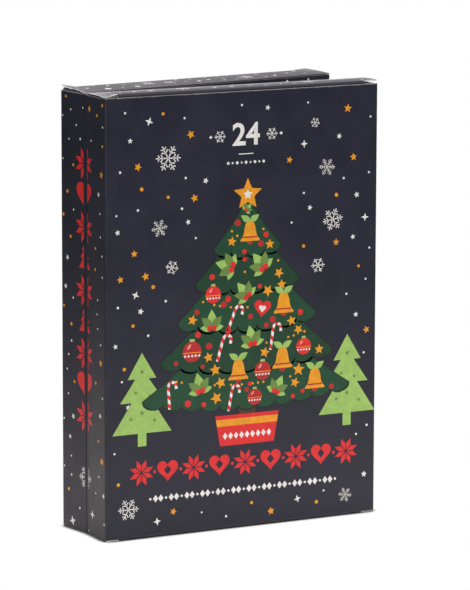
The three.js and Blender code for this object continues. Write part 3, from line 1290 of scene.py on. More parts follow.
class PrintSheet:
    """What is printed on one face: copies of the motifs, joined into one thin piece."""

    def __init__(self, name: str, panel: Panel, motifs: MotifBox, palette: Palette) -> None:
        """Start an empty sheet.

        Args:
            name: The finished piece's name.
            panel: The face that it lies on.
            motifs: The motifs to copy.
            palette: The inks.
        """
        self.name, self.panel, self.motifs, self.palette = name, panel, motifs, palette
        self.stamps: list[Object] = []

    def place(self, x: float, z: float, turn: float, scale: Point, level: int) -> Matrix | None:
        """The matrix that lays a motif on the face, or None where the face has no room for it."""
        return self.panel.place(x, z, turn, scale, level)

    def lay(self, mesh: Mesh, ink: Ink, x: float, z: float, size: float, turn: float = 0.0, level: int = 0,
            squeeze: float = 1.0) -> None:
        """Print a mesh of its own.

        Args:
            mesh: The flat mesh, at unit size.
            ink: Its ink.
            x: Its place to the right, in millimetres.
            z: Its place above the foot, in millimetres.
            size: What one unit of it measures, in millimetres.
            turn: Its angle, in degrees.
            level: Which layer of ink it is.
            squeeze: Its height as a share of its width.
        """
        place = self.place(x * MM, z * MM, math.radians(turn), (size * MM, size * MM * squeeze), level)
        if place is None:
            bpy.data.meshes.remove(mesh)
            return
        mesh.transform(place)
        mesh.materials.append(self.palette.inks[ink])
        self.stamps.append(link("stamp", mesh))

    def stamp(self, motif: Motif, ink: Ink, *where: float, **how: float) -> None:
        """Print a motif at the place, size and turn that lay takes."""
        self.lay(self.motifs.meshes[motif].copy(), ink, *where, **how)

    def number(self, number: int, ink: Ink, x: float, z: float, height: float, level: int = 0) -> None:
        """Print a number of so many millimetres in height."""
        self.lay(self.motifs.figures[number].copy(), ink, x, z, height, level=level)

    def shape(self, points: Sequence[Point], ink: Ink, level: int = 0) -> None:
        """Print a shape whose outline is given in millimetres on the face."""
        self.lay(flat([(x * MM, z * MM) for x, z in points]), ink, 0.0, 0.0, 1 / MM, level=level)

    def group(self, marks: Iterable[Mark], x: float, z: float, size: float = 1.0, turn: float = 0.0,
              level: int = 0, ink: Ink = Ink.RED) -> None:
        """Print a group of marks; those that are round stay unturned.

        Args:
            marks: The marks, at unit size.
            x: The group's middle to the right, in millimetres.
            z: The group's middle above the foot, in millimetres.
            size: What one unit of it measures, in millimetres.
            turn: Its angle, in degrees.
            level: The lowest layer of ink that it takes.
            ink: The ink of marks that name none.
        """
        along, up = math.cos(math.radians(turn)), math.sin(math.radians(turn))
        for mark in marks:
            angle = 0.0 if mark.motif is Motif.BALL else mark.turn + turn
            self.stamp(mark.motif, mark.ink or ink, x + (mark.x * along - mark.z * up) * size,
                       z + (mark.x * up + mark.z * along) * size, mark.size * size, angle, mark.level + level,
                       mark.squeeze)

    def build(self) -> Object:
        """Join the stamps into the finished piece, which rides with its face."""
        piece = join(self.name, self.stamps)
        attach(piece, self.panel.body)
        LOG.info("%s: %d stamps, %d faces on %s", piece.name, len(self.stamps), len(piece.data.polygons),
                 self.panel.body)
        return piece


class LidSheet(PrintSheet):
    """The marks on a lid, each laid on the sloping board, at x from the spine and z into the depth."""

    flattest = 0.8

    def __init__(self, lid: Object, half: Half, end: End, motifs: MotifBox, palette: Palette) -> None:
        """Read the lid's surface.

        Args:
            lid: The dressed lid.
            half: The half that it closes.
            end: The end that it closes.
            motifs: The motifs to copy.
            palette: The inks.
        """
        body = f"{half.side.value}_{end.value}_lid"
        ways = (half.way(1, 0, 0), half.way(0, 1, 0))
        panel = Panel(body, half.point(0, 0, 0), *ways, SIZES.width, SIZES.depth)
        super().__init__(f"{body}_print", panel, motifs, palette)
        self.half, self.out = half, 1.0 if end is End.TOP else -1.0
        faces = [tuple(polygon.vertices) for polygon in lid.data.polygons]
        self.surface = BVHTree.FromPolygons([vertex.co for vertex in lid.data.vertices], faces)

    def place(self, x: float, z: float, turn: float, scale: Point, level: int) -> Matrix | None:
        """The matrix that lays a motif on the board under it, or None where the board is too steep.

        Args:
            x: Distance from the spine.
            z: Distance into the depth.
            turn: The motif's angle, in radians.
            scale: Its scale along and across.
            level: Its layer of ink.

        Returns:
            The matrix or None.
        """
        start = self.half.point(x, z, SIZES.top / 2 + self.out * SIZES.top)
        spot, normal, _, _ = self.surface.ray_cast(start, UP * -self.out)
        if spot is None or normal.z * self.out < self.flattest:
            return None
        right = self.panel.right
        right = (right - normal * right.dot(normal)).normalized()
        return Panel(self.panel.body, spot, right, normal.cross(right)).place(0.0, 0.0, turn, scale, level)


@dataclass(frozen=True)
class Sprinkle:
    """A night sky of small marks: how many there are of each kind, and their sizes."""

    seed: int
    pitch: float = 17.0
    edge: float = 3.5
    kinds: tuple[tuple[Motif, Ink, float, float, float], ...] = (
        (Motif.DOT, Ink.WHITE, 0.75, 1.0, 0.34),
        (Motif.STAR, Ink.WHITE, 1.9, 2.5, 0.20),
        (Motif.STAR, Ink.GOLD, 2.5, 3.3, 0.17),
        (Motif.DOT, Ink.GOLD, 1.1, 1.4, 0.16),
        (Motif.SPARKLE, Ink.WHITE, 3.2, 4.0, 0.08),
        (Motif.FLAKE_FINE, Ink.WHITE, 5.5, 7.0, 0.05),
    )

    def scatter(self, sheet: PrintSheet, clear: Sequence[Zone] = (), area: Zone | None = None) -> None:
        """Scatter marks over a sheet, keeping them apart and off the zones.

        Args:
            sheet: The sheet to print on.
            clear: Zones to keep clear.
            area: The part of the face to fill, or all of it.
        """
        dice = random.Random(self.seed)
        area = area or Zone(0.0, 0.0, sheet.panel.width / MM, sheet.panel.height / MM)
        wanted = int((area.right - area.left) * (area.head - area.foot) / self.pitch ** 2 * 1.9)
        placed: list[tuple[float, float, float]] = []
        for _ in range(wanted * 14):
            if len(placed) >= wanted:
                break
            motif, ink, small, large, _ = dice.choices(self.kinds, [kind[-1] for kind in self.kinds])[0]
            size = dice.uniform(small, large)
            reach = size + self.edge
            x = dice.uniform(area.left + reach, area.right - reach)
            z = dice.uniform(area.foot + reach, area.head - reach)
            if any(zone.holds(x, z, size + 1.5) for zone in clear):
                continue
            if any(math.hypot(x - a, z - b) < self.pitch * 0.52 + size + r for a, b, r in placed):
                continue
            placed.append((x, z, size))
            sheet.stamp(motif, ink, x, z, size, dice.uniform(-30, 30))


LID_MARKS = (
    (Motif.DOT, Ink.WHITE, 0.75, 1.0, 0.38),
    (Motif.STAR, Ink.WHITE, 1.9, 2.5, 0.30),
    (Motif.STAR, Ink.GOLD, 1.7, 2.1, 0.06),
    (Motif.SPARKLE, Ink.WHITE, 3.2, 4.0, 0.12),
    (Motif.FLAKE_FINE, Ink.WHITE, 5.0, 6.5, 0.14),
)


# Artwork of each face


@dataclass(frozen=True)
class Tier:
    """One tier of the tree, in millimetres: its top, its hem, their half widths and the hem's scallops."""

    top: float
    hem: float
    neck: float
    half: float
    scallops: int
    lift: float
    steps: int = 8
    scallop_steps: int = 6
    bead_pitch: float = 4.4
    bead_sag: float = 6.5

    def half_at(self, share: float) -> float:
        """Half the tier's width at this share of the way from its top to its hem."""
        return self.neck + (self.half - self.neck) * share ** 1.35

    def outline(self, middle: float, grow: float = 0.0) -> list[Point]:
        """The tier's outline, once round.

        Args:
            middle: The tree's middle line.
            grow: How much wider and lower it is drawn.

        Returns:
            The outline.
        """
        drop = self.hem + self.lift - self.top
        shares = [i / self.steps for i in range(self.steps + 1)]
        side = [(self.half_at(share) + grow, self.top + drop * share) for share in shares]
        hem = []
        chord = 2 * (self.half + grow) / self.scallops
        for k in range(self.scallops):
            centre = -(self.half + grow) + chord * (k + 0.5)
            for i in range(1, self.scallop_steps + 1):
                turn = math.pi + math.pi * i / self.scallop_steps
                x = centre + chord / 2 * math.cos(turn)
                sag = self.lift * (x / self.half) ** 2
                hem.append((middle + x, self.hem - grow + sag + chord * 0.30 * math.sin(turn)))
        left = [(middle - half, z) for half, z in side]
        return left + hem[:-1] + [(middle + half, z) for half, z in reversed(side)]

    def garland(self, drop: float) -> list[Point]:
        """Places of beads along a swag across the tier.

        Args:
            drop: How far up from the hem the swag hangs, as a share of the tier.

        Returns:
            The places, as (x from the tree's middle, z).
        """
        half = self.half_at(1 - drop) - 1.5
        level = self.hem + (self.top - self.hem) * drop
        count = max(6, round(2 * half / self.bead_pitch))
        shares = [2 * i / count - 1 for i in range(count + 1)]
        return [(half * share, level - self.bead_sag + self.bead_sag * share ** 2) for share in shares]


@dataclass(frozen=True)
class Ornament:
    """What hangs on the tree: the share of its size that it keeps free, and its marks at unit size."""

    reach: float
    marks: tuple[Mark, ...]
    upright: float = 0.0
    sway: float = 0.0
    inks: tuple[Ink, Ink] = (Ink.RED, Ink.DEEP_RED)
    split: float = 0.0

    def hang(self, sheet: PrintSheet, x: float, z: float, size: float, lean: float, level: int) -> None:
        """Print the ornament.

        Args:
            sheet: The sheet to print on.
            x: Its place to the right, in millimetres.
            z: Its place above the foot, in millimetres.
            size: Its radius, in millimetres.
            lean: Its slant, from -1 to 1.
            level: The lowest layer of ink that it takes.
        """
        ink = self.inks[0] if lean > self.split else self.inks[1]
        sheet.group(self.marks, x, z, size, self.upright + lean * self.sway, level, ink)


BELL = Ornament(1.02, (
    Mark(Motif.BALL, Ink.DEEP_RED, 0, -0.74, 0.24), Mark(Motif.BELL, Ink.GOLD, 0, 0, 1, level=1),
    Mark(Motif.BAR, Ink.DEEP_RED, 0, -0.40, 0.64, level=2, squeeze=0.18),
    *(Mark(Motif.LEAF, Ink.LEAF, 0, 0.86, 0.95, 90 + side * 58, 2) for side in (-1, 1))))
SPRAY = Ornament(0.90, (
    *(Mark(Motif.LEAF, Ink.OLIVE if k % 2 else Ink.LEAF, -0.35, 0, share, bend, k % 2)
      for k, (bend, share) in enumerate(((-86, 0.80), (-44, 0.98), (0, 1.15), (44, 0.98), (86, 0.80)))),
    *(Mark(Motif.BALL, Ink.RED, -0.35, side * 0.16, 0.17, level=2) for side in (-1, 1))), upright=90, sway=75)
CANE = Ornament(0.74, (
    Mark(Motif.CANE, Ink.WHITE, 0, 0, 1, level=1), Mark(Motif.CANE_STRIPES, Ink.RED, 0, 0, 1, level=2)),
    sway=22)
BALL = Ornament(1.0, (
    Mark(Motif.BAR, Ink.LEAF, 0, 0.98, 0.24, squeeze=1.2), Mark(Motif.BALL, None, 0, 0, 0.90, level=1),
    Mark(Motif.BAR, Ink.GOLD, 0, -0.08, 0.88, level=2, squeeze=0.09),
    *(Mark(Motif.DIAMOND, Ink.WHITE, (k - 2) * 0.34, -0.36, 0.13, level=2) for k in range(5)),
    Mark(Motif.LEAF, Ink.BLUSH, -0.46, 0.22, 0.62, 52, 2, 0.7)), split=-0.3)
HEART = Ornament(1.01, (
    Mark(Motif.HEART, None, 0, 0, 0.95, level=1), Mark(Motif.HEART, Ink.WHITE, 0, 0, 0.40, level=2)), sway=12,
    inks=(Ink.DEEP_RED, Ink.RED))
STAR = Ornament(0.98, (Mark(Motif.STAR, Ink.GOLD, 0, 0, 1, level=1),), sway=36)
BERRY = Ornament(1.03, (Mark(Motif.BALL, None, 0, 0, 1, level=1),))


@dataclass(frozen=True)
class FirTree:
    """The tree that fills the front: scalloped tiers, garlands and hung ornaments, in millimetres."""

    middle: float = 114.0
    tiers: tuple[Tier, ...] = (
        Tier(143.0, 92.0, 34.0, 84.0, 11, 8.0), Tier(172.0, 120.0, 27.0, 70.0, 9, 7.0),
        Tier(199.0, 149.0, 19.0, 56.0, 7, 6.0), Tier(222.0, 177.0, 11.0, 42.0, 6, 5.0),
        Tier(243.0, 203.0, 1.5, 27.0, 4, 4.0),
    )
    grow: float = 1.3
    star: Place = (245.0, 12.0, 4.0)
    stand: tuple[tuple[Ink, tuple[Point, ...]], ...] = (
        (Ink.BARK, ((-7, 82), (7, 82), (6, 98), (-6, 98))),
        (Ink.RED, ((-22.0, 61.5), (22.0, 61.5), (26.0, 84.0), (-26.0, 84.0))),
        (Ink.GOLD, ((-24.6, 76), (24.6, 76), (25.5, 81), (-25.5, 81))),
    )
    seed: int = 6
    tries: int = 160
    hung: tuple[tuple[Ornament, int, float, float], ...] = (
        (BELL, 5, 8.8, 9.6), (SPRAY, 10, 11.0, 13.0), (CANE, 5, 10.5, 11.5), (BALL, 9, 6.4, 8.4),
        (HEART, 6, 6.2, 7.6), (STAR, 26, 3.6, 5.6), (SPRAY, 12, 5.5, 7.0), (BERRY, 30, 1.6, 2.6),
    )

    def draw(self, sheet: PrintSheet, ground: int) -> None:
        """Print the tree.

        Args:
            sheet: The sheet of the front face.
            ground: The lowest layer of ink that it takes.
        """
        for row, (ink, outline) in enumerate(self.stand):
            sheet.shape([(self.middle + x, z) for x, z in outline], ink, ground + row)
        for k in range(9):
            x = self.middle - 18 + 4.5 * k
            sheet.stamp(Motif.DIAMOND, Ink.WHITE, x, 68.6, 1.9, level=ground + 2, squeeze=1.4)
        for row, tier in enumerate(self.tiers):
            sheet.shape(tier.outline(self.middle, self.grow), Ink.SHADE, ground + 1 + row)
            sheet.shape(tier.outline(self.middle), Ink.FIR if row % 2 else Ink.PINE, ground + 2 + row)
        hung = self.hang(sheet, ground + 7)
        for tier in self.tiers:
            for x, z in tier.garland(0.40):
                if all(math.hypot(x - a, z - b) > reach + 0.5 for a, b, reach in hung):
                    sheet.stamp(Motif.DOT, Ink.GOLD, self.middle + x, z, 0.95, level=ground + 7)

    def room(self, x: float, z: float) -> float:
        """How far a place lies inside the tree, in millimetres, where x runs from its middle line.

        Args:
            x: The place to the right of the middle line.
            z: The place above the foot.

        Returns:
            The distance, or -99 outside the tree.
        """
        best = -99.0
        for tier in self.tiers:
            if tier.hem < z < tier.top:
                half = tier.half_at((tier.top - z) / (tier.top - tier.hem))
                best = max(best, min(half - abs(x), z - tier.hem + 1.5 - tier.lift * (x / tier.half) ** 2))
        return best

    def hang(self, sheet: PrintSheet, level: int) -> list[Place]:
        """Hang the ornaments on the tree, each where most room is left.

        Args:
            sheet: The sheet of the front face.
            level: The lowest layer of ink that they take.

        Returns:
            The ornaments' places about the middle line, with their reach.
        """
        dice = random.Random(self.seed)
        placed: list[Place] = []
        wide, low, high = self.tiers[0].half, self.tiers[0].hem, self.tiers[-1].top
        for kind, count, small, large in self.hung:
            for _ in range(count):
                size = dice.uniform(small, large)
                reach = size * kind.reach
                spots = [(dice.uniform(-wide, wide), dice.uniform(low, high)) for _ in range(self.tries)]
                spots = [(min([math.hypot(x - a, z - b) - r - reach for a, b, r in placed] + [12.0]), x, z)
                         for x, z in spots if self.room(x, z) > reach * 0.8]
                if not spots or max(spots)[0] < 0.4:
                    continue
                _, x, z = max(spots)
                placed.append((x, z, reach))
                kind.hang(sheet, self.middle + x, z, size, dice.uniform(-1, 1), level)
        z, large, small = self.star
        sheet.stamp(Motif.STAR, Ink.GOLD, self.middle, z, large, level=level + 1)
        sheet.stamp(Motif.STAR, Ink.WHITE, self.middle, z, small, level=level + 2)
        return placed


@dataclass(frozen=True)
class RedRow:
    """A red row of two groups in turn with dots between them, in millimetres."""

    start: float
    groups: tuple[tuple[Mark, ...], tuple[Mark, ...]]
    pitch: float = 21.0
    level: float = 48.0
    count: int = 9
    rose: ClassVar[tuple[Mark, ...]] = (Mark(Motif.PETAL_ROSE, Ink.RED, 0, 0, 9.6),)

    def draw(self, sheet: PrintSheet) -> None:
        """Print the row on this sheet.

        Args:
            sheet: The sheet to print on.
        """
        for k in range(self.count):
            x = self.start + k * self.pitch
            sheet.group(self.groups[k % 2], x, self.level)
            if k:
                sheet.stamp(Motif.DOT, Ink.RED, x - self.pitch / 2, self.level, 1.2)


@dataclass(frozen=True)
class FrontFace:
    """The front's artwork, in millimetres from the spine and the foot."""

    flakes: tuple[tuple[float, float, float, Motif], ...] = (
        (50, 275, 9.8, Motif.FLAKE_BRANCHED), (179, 261, 6.6, Motif.FLAKE_FINE),
        (169, 294, 3.8, Motif.FLAKE_SMALL), (43, 225, 6.4, Motif.FLAKE_FINE),
        (53, 196, 5.2, Motif.FLAKE_SMALL), (18, 22, 8.2, Motif.FLAKE_BRANCHED),
        (184, 222, 8.4, Motif.FLAKE_BRANCHED), (196, 15, 5.6, Motif.FLAKE_FINE),
        (172, 189, 5.6, Motif.FLAKE_SMALL),
    )
    scattered: tuple[tuple[Motif, Ink, float, float, tuple[Point, ...]], ...] = (
        (Motif.DOT, Ink.WHITE, 0.8, 1.0, (
            (16, 309), (63, 303), (109, 310), (163, 309), (215, 296), (12, 267), (64, 260), (193, 252),
            (214, 255), (26, 239), (9, 236), (215, 199), (10, 170), (48, 172), (212, 176), (211, 121),
            (13, 116), (205, 60), (7, 64), (214, 66), (77, 14), (97, 9), (178, 20), (61, 238), (160, 243),
            (150, 222), (72, 216), (34, 148), (196, 166),
        )),
        (Motif.DOT, Ink.GOLD, 1.2, 1.5, (
            (46, 307), (29, 254), (50, 247), (187, 240), (15, 125), (202, 101), (10, 41), (118, 17),
            (172, 12), (160, 204), (38, 183), (206, 186), (22, 156),
        )),
        (Motif.STAR, Ink.WHITE, 2.0, 2.5, (
            (20, 289), (130, 307), (189, 283), (80, 257), (204, 239), (10, 224), (201, 208), (18, 97),
            (212, 29), (66, 228), (204, 150), (8, 142), (165, 232), (28, 166),
        )),
        (Motif.STAR, Ink.GOLD, 2.7, 3.4, (
            (68, 291), (26, 270), (148, 268), (201, 267), (196, 303), (23, 208), (54, 17), (134, 9),
            (187, 205), (32, 191), (213, 138), (12, 190), (71, 245),
        )),
        (Motif.SPARKLE, Ink.WHITE, 3.0, 3.7, (
            (35, 302), (160, 279), (41, 11), (156, 16), (24, 178), (211, 222), (207, 84),
        )),
    )
    side_trees: Point = (29.0, 197.0)
    side_stars: tuple[Place, ...] = (
        (0, 122, 2.0), (-5, 107, 1.8), (6, 104, 1.8), (-9, 88, 1.8), (0, 92, 2.0), (10, 86, 1.8),
    )
    head_middle: float = 112.5
    head_level: float = 288.0
    fine_start: float = 35.5
    fine_length: float = 152.0
    fine_level: float = 28.0
    fine_count: int = 37

    def draw(self, sheet: PrintSheet) -> None:
        """Print the whole front.

        Args:
            sheet: The sheet to print on.
        """
        dice = random.Random(9)
        for x, z, size, motif in self.flakes:
            sheet.stamp(motif, Ink.WHITE, x, z, size, dice.uniform(-12, 12))
        for motif, ink, small, large, places in self.scattered:
            for x, z in places:
                sheet.stamp(motif, ink, x, z, dice.uniform(small, large), dice.uniform(-25, 25))
        for x in self.side_trees:
            sheet.stamp(Motif.TREE, Ink.LEAF, x, 98, 38, level=1)
            for dx, z, size in self.side_stars:
                sheet.stamp(Motif.STAR, Ink.OLIVE, x + dx, z, size, level=2)
        FirTree().draw(sheet, 2)
        self.head(sheet)
        self.foot(sheet)

    def head(self, sheet: PrintSheet) -> None:
        """Print the number, its rule and its row of dots at the head.

        Args:
            sheet: The sheet to print on.
        """
        x, z = self.head_middle, self.head_level
        sheet.number(24, Ink.WHITE, x, z, 16.5)
        for side in (-1, 1):
            sheet.stamp(Motif.FLAKE_SMALL, Ink.WHITE, x + side * 21, z, 4.6)
            sheet.stamp(Motif.DIAMOND, Ink.WHITE, x + side * 28.5, z, 1.3)
        sheet.stamp(Motif.BAR, Ink.WHITE, x, z - 13.4, 6.0, squeeze=0.11)
        for k in range(9):
            sheet.stamp(Motif.DOT, Ink.WHITE, x + (k - 4) * 3.6, z - 19.6, 0.8 if k % 2 else 1.15)

    def foot(self, sheet: PrintSheet) -> None:
        """Print the red row of knitted roses and hearts, and the fine white row under it.

        Args:
            sheet: The sheet to print on.
        """
        heart = (Mark(Motif.HEART, Ink.RED, 0, -0.5, 8.6),
                 Mark(Motif.DIAMOND, Ink.NAVY, 0, 0.4, 3.0, level=1, squeeze=1.15))
        RedRow(28.5, (RedRow.rose, heart)).draw(sheet)
        for k in range(self.fine_count):
            x = self.fine_start + self.fine_length * k / (self.fine_count - 1)
            motif, size, squeeze = (Motif.DIAMOND, 2.1, 1.3) if k % 3 else (Motif.DOT, 1.0, 1.0)
            sheet.stamp(motif, Ink.WHITE, x, self.fine_level, size, squeeze=squeeze)


@dataclass(frozen=True)
class SpineFace:
    """The spine's artwork: a red column across the crease, each motif parted for the fold, in millimetres."""

    start: float = 86.0
    pitch: float = 23.0
    size: float = 11.6
    offset: float = -1.2
    fold: float = 1.7
    kinds: tuple[tuple[Motif, float], ...] = (
        (Motif.PETAL_ROSE, 1.0), (Motif.HEART, 0.92), (Motif.TREE, 1.06))
    column: tuple[int, ...] = (0, 1, 0, 2, 0, 2, 0, 1, 0)

    def draw(self, sheet: PrintSheet, side: Side) -> None:
        """Print one wall of the spine.

        Args:
            sheet: The wall's sheet.
            side: Which half the wall belongs to.
        """
        right = side is Side.FRONT
        crease, way = (0.0, 1.0) if right else (SIZES.depth / MM, -1.0)
        cut, middle = crease + way * self.fold, crease + self.offset
        marks = []
        for k, which in enumerate(self.column):
            motif, share = self.kinds[which]
            marks.append((motif, Ink.RED, self.start + k * self.pitch, self.size * share))
        for motif, ink, z, size in marks + [(Motif.FLAKE_BRANCHED, Ink.WHITE, 41.0, 8.4)]:
            sheet.lay(sheet.motifs.cut(motif, (cut - middle) / size, right), ink, middle, z, size)
        low, high = sorted((crease, crease + way * (self.size + 1.0)))
        Sprinkle(31 if right else 32, pitch=17.0, edge=1.8).scatter(sheet, (Zone(low, 30.0, high, 283.0),))


@dataclass(frozen=True)
class RearFace:
    """The rear's artwork: a knitted band, a ring of flakes and the night sky round them, in millimetres."""

    middle: float = 110.5
    ring_level: float = 184.0
    ring_reach: float = 52.0
    ring_count: int = 12
    flakes: tuple[tuple[Motif, float], ...] = ((Motif.FLAKE_BRANCHED, 8.6), (Motif.FLAKE_FINE, 6.6),
                                               (Motif.FLAKE_SMALL, 5.4))
    stars: tuple[Place, ...] = ((0, 27, 2.4), (-6, 15, 2.2), (7, 11, 2.4), (-10, -3, 2.4), (1, 0, 2.2),
                                (11, -6, 2.4), (-4, -11, 2.2), (0, 39, 5.0))

    def draw(self, sheet: PrintSheet) -> None:
        """Print the whole rear.

        Args:
            sheet: The sheet to print on.
        """
        x, z = self.middle, self.ring_level
        sheet.stamp(Motif.TREE, Ink.PINE, x, z + 3, 36.0)
        sheet.group((Mark(Motif.STAR, Ink.GOLD, *star, level=1) for star in self.stars), x, z)
        flakes = ring(x, z, self.ring_reach, self.ring_count)
        dots = ring(x, z, self.ring_reach + 3, self.ring_count, 0.5)
        for k, (flake_at, dot_at) in enumerate(zip(flakes, dots)):
            motif, size = self.flakes[k % 3]
            sheet.stamp(motif, Ink.WHITE, *flake_at[:2], size, k * 13)
            sheet.stamp(Motif.DOT, Ink.GOLD, *dot_at[:2], 1.3)
        RedRow(26.5, ((Mark(Motif.HEART, Ink.RED, 0, 0, 8.6),), RedRow.rose)).draw(sheet)
        reach = self.ring_reach + 10
        clear = (Zone(x - reach, z - reach, x + reach, z + reach), Zone(12.0, 37.0, 209.0, 60.0))
        Sprinkle(41, pitch=18.0).scatter(sheet, clear)


@dataclass(frozen=True)
class Badge:
    """What a door's number stands on, and the number's ink, lift and room."""

    marks: tuple[Mark, ...]
    ink: Ink = Ink.WHITE
    lift: float = 0.0
    narrow: bool = False


@dataclass(frozen=True)
class DoorFace:
    """A door's artwork: its number on a badge, in millimetres."""

    figure: float = 15.0
    shrink: float = 0.82
    badges: tuple[Badge, ...] = (
        Badge((Mark(Motif.BAR, Ink.GOLD, 0, 19.5, 3.6, squeeze=1.3),
               Mark(Motif.BALL, Ink.RED, 0, 0, 18.5, level=1),
               *(Mark(Motif.DOT, Ink.GOLD, x, z, 0.9, level=2) for x, z, _ in ring(0, 0, 15.4, 12)))),
        Badge((Mark(Motif.TREE, Ink.PINE, 0, 1.0, 25.0), Mark(Motif.STAR, Ink.GOLD, 0, 24.0, 3.6, level=1)),
              lift=-6.5, narrow=True),
        Badge((Mark(Motif.STAR, Ink.GOLD, 0, 0, 25.0),), Ink.NAVY, -0.6, True),
        Badge((Mark(Motif.BALL, Ink.FIR, 0, 0, 19.0),
               *(Mark(Motif.LEAF, Ink.LEAF if k % 2 else Ink.OLIVE, x, z, 5.6, 20 - math.degrees(turn), 1)
                 for k, (x, z, turn) in enumerate(ring(0, 0, 17.5, 18))))),
        Badge((Mark(Motif.HEART, Ink.DEEP_RED, 0, -1.5, 20.5),), lift=1.5),
        Badge(tuple(Mark(Motif.FLAKE_SMALL, Ink.WHITE, x, z, 4.2, k * 9)
                    for k, (x, z, _) in enumerate(ring(0, 0, 18.5, 8))), Ink.GOLD),
        Badge((Mark(Motif.BELL, Ink.GOLD, 0, 0, 24.0), Mark(Motif.BALL, Ink.GOLD, 0, -20.0, 4.0)),
              Ink.NAVY, -2.0, True),
        Badge(tuple(mark for side in (-1, 1) for mark in (
            Mark(Motif.PETAL_ROSE, Ink.RED, 0, side * 18.0, 7.6),
            Mark(Motif.DIAMOND, Ink.RED, side * 21.0, 0, 2.6, squeeze=1.4)))),
    )
    corners: tuple[Mark, ...] = (
        Mark(Motif.STAR, Ink.WHITE, -23.5, -25.0, 1.9, -11), Mark(Motif.DOT, Ink.WHITE, 23.5, -25.0, 1.0, 11),
        Mark(Motif.DOT, Ink.WHITE, -23.5, 25.0, 1.0, -11), Mark(Motif.STAR, Ink.WHITE, 23.5, 25.0, 1.9, 11),
    )

    def draw(self, sheet: PrintSheet, number: int, x: float, z: float) -> None:
        """Print one door.

        Args:
            sheet: The door's sheet.
            number: Its number.
            x: The door's middle to the right.
            z: The door's middle above the foot.
        """
        badge = self.badges[(number * 5 + number // 8) % len(self.badges)]
        sheet.group(badge.marks, x, z)
        size = self.figure * (self.shrink if badge.narrow and number > 9 else 1.0)
        sheet.number(number, badge.ink, x, z + badge.lift, size, 3)
        sheet.group(self.corners, x, z)


# The crease between the halves


@dataclass(frozen=True)
class SpineCrease:
    """The board that joins the halves: a thin strip over the crease."""

    reach: float = 0.5 * MM
    wall: float = 2.6 * MM
    thickness: float = 0.15 * MM
    radius: float = 0.8 * MM
    arc: int = 6
    sweep: float = math.radians(62)
    shy: float = 1.0 * MM

    def section(self, half: Half, lift: float) -> list[Vector]:
        """One half of the strip's section, from its edge on the wall in to the crease.

        Args:
            half: The half whose wall it follows.
            lift: How far it stands off the wall.

        Returns:
            The points, at the foot.
        """
        centre, reach = SIZES.seam + self.radius, self.radius + lift
        places = [(-lift, self.wall), (-lift, (self.wall + centre) / 2)]
        for i in range(self.arc + 1):
            turn = self.sweep * i / self.arc
            places.append((self.radius - reach * math.cos(turn), centre - reach * math.sin(turn)))
        return [half.point(x, depth, 0) for x, depth in places]

    def build(self, book: Book, palette: Palette) -> Object:
        """Model the strip from its section and dress it.

        Args:
            book: The book that it joins.
            palette: The finishes.

        Returns:
            The strip.
        """
        front, rear = book.halves[Side.FRONT], book.halves[Side.REAR]
        outer, inner = (self.section(front, lift) + self.section(rear, lift)[::-1]
                        for lift in (self.thickness / 2, -self.thickness / 2))
        piece = plate("spine_crease", outer + inner[::-1], SIZES.top - SIZES.foot - self.shy,
                      (SIZES.top + SIZES.foot) / 2)
        smooth(piece)
        piece.data.materials.append(palette.board[Side.FRONT])
        book.crease + front.way(0, self.reach, 0)
        book.crease + rear.way(0, self.reach, 0)
        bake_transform(piece)
        LOG.info("%s: %d faces across the hinge", piece.name, len(piece.data.polygons))
        return piece


# The studio


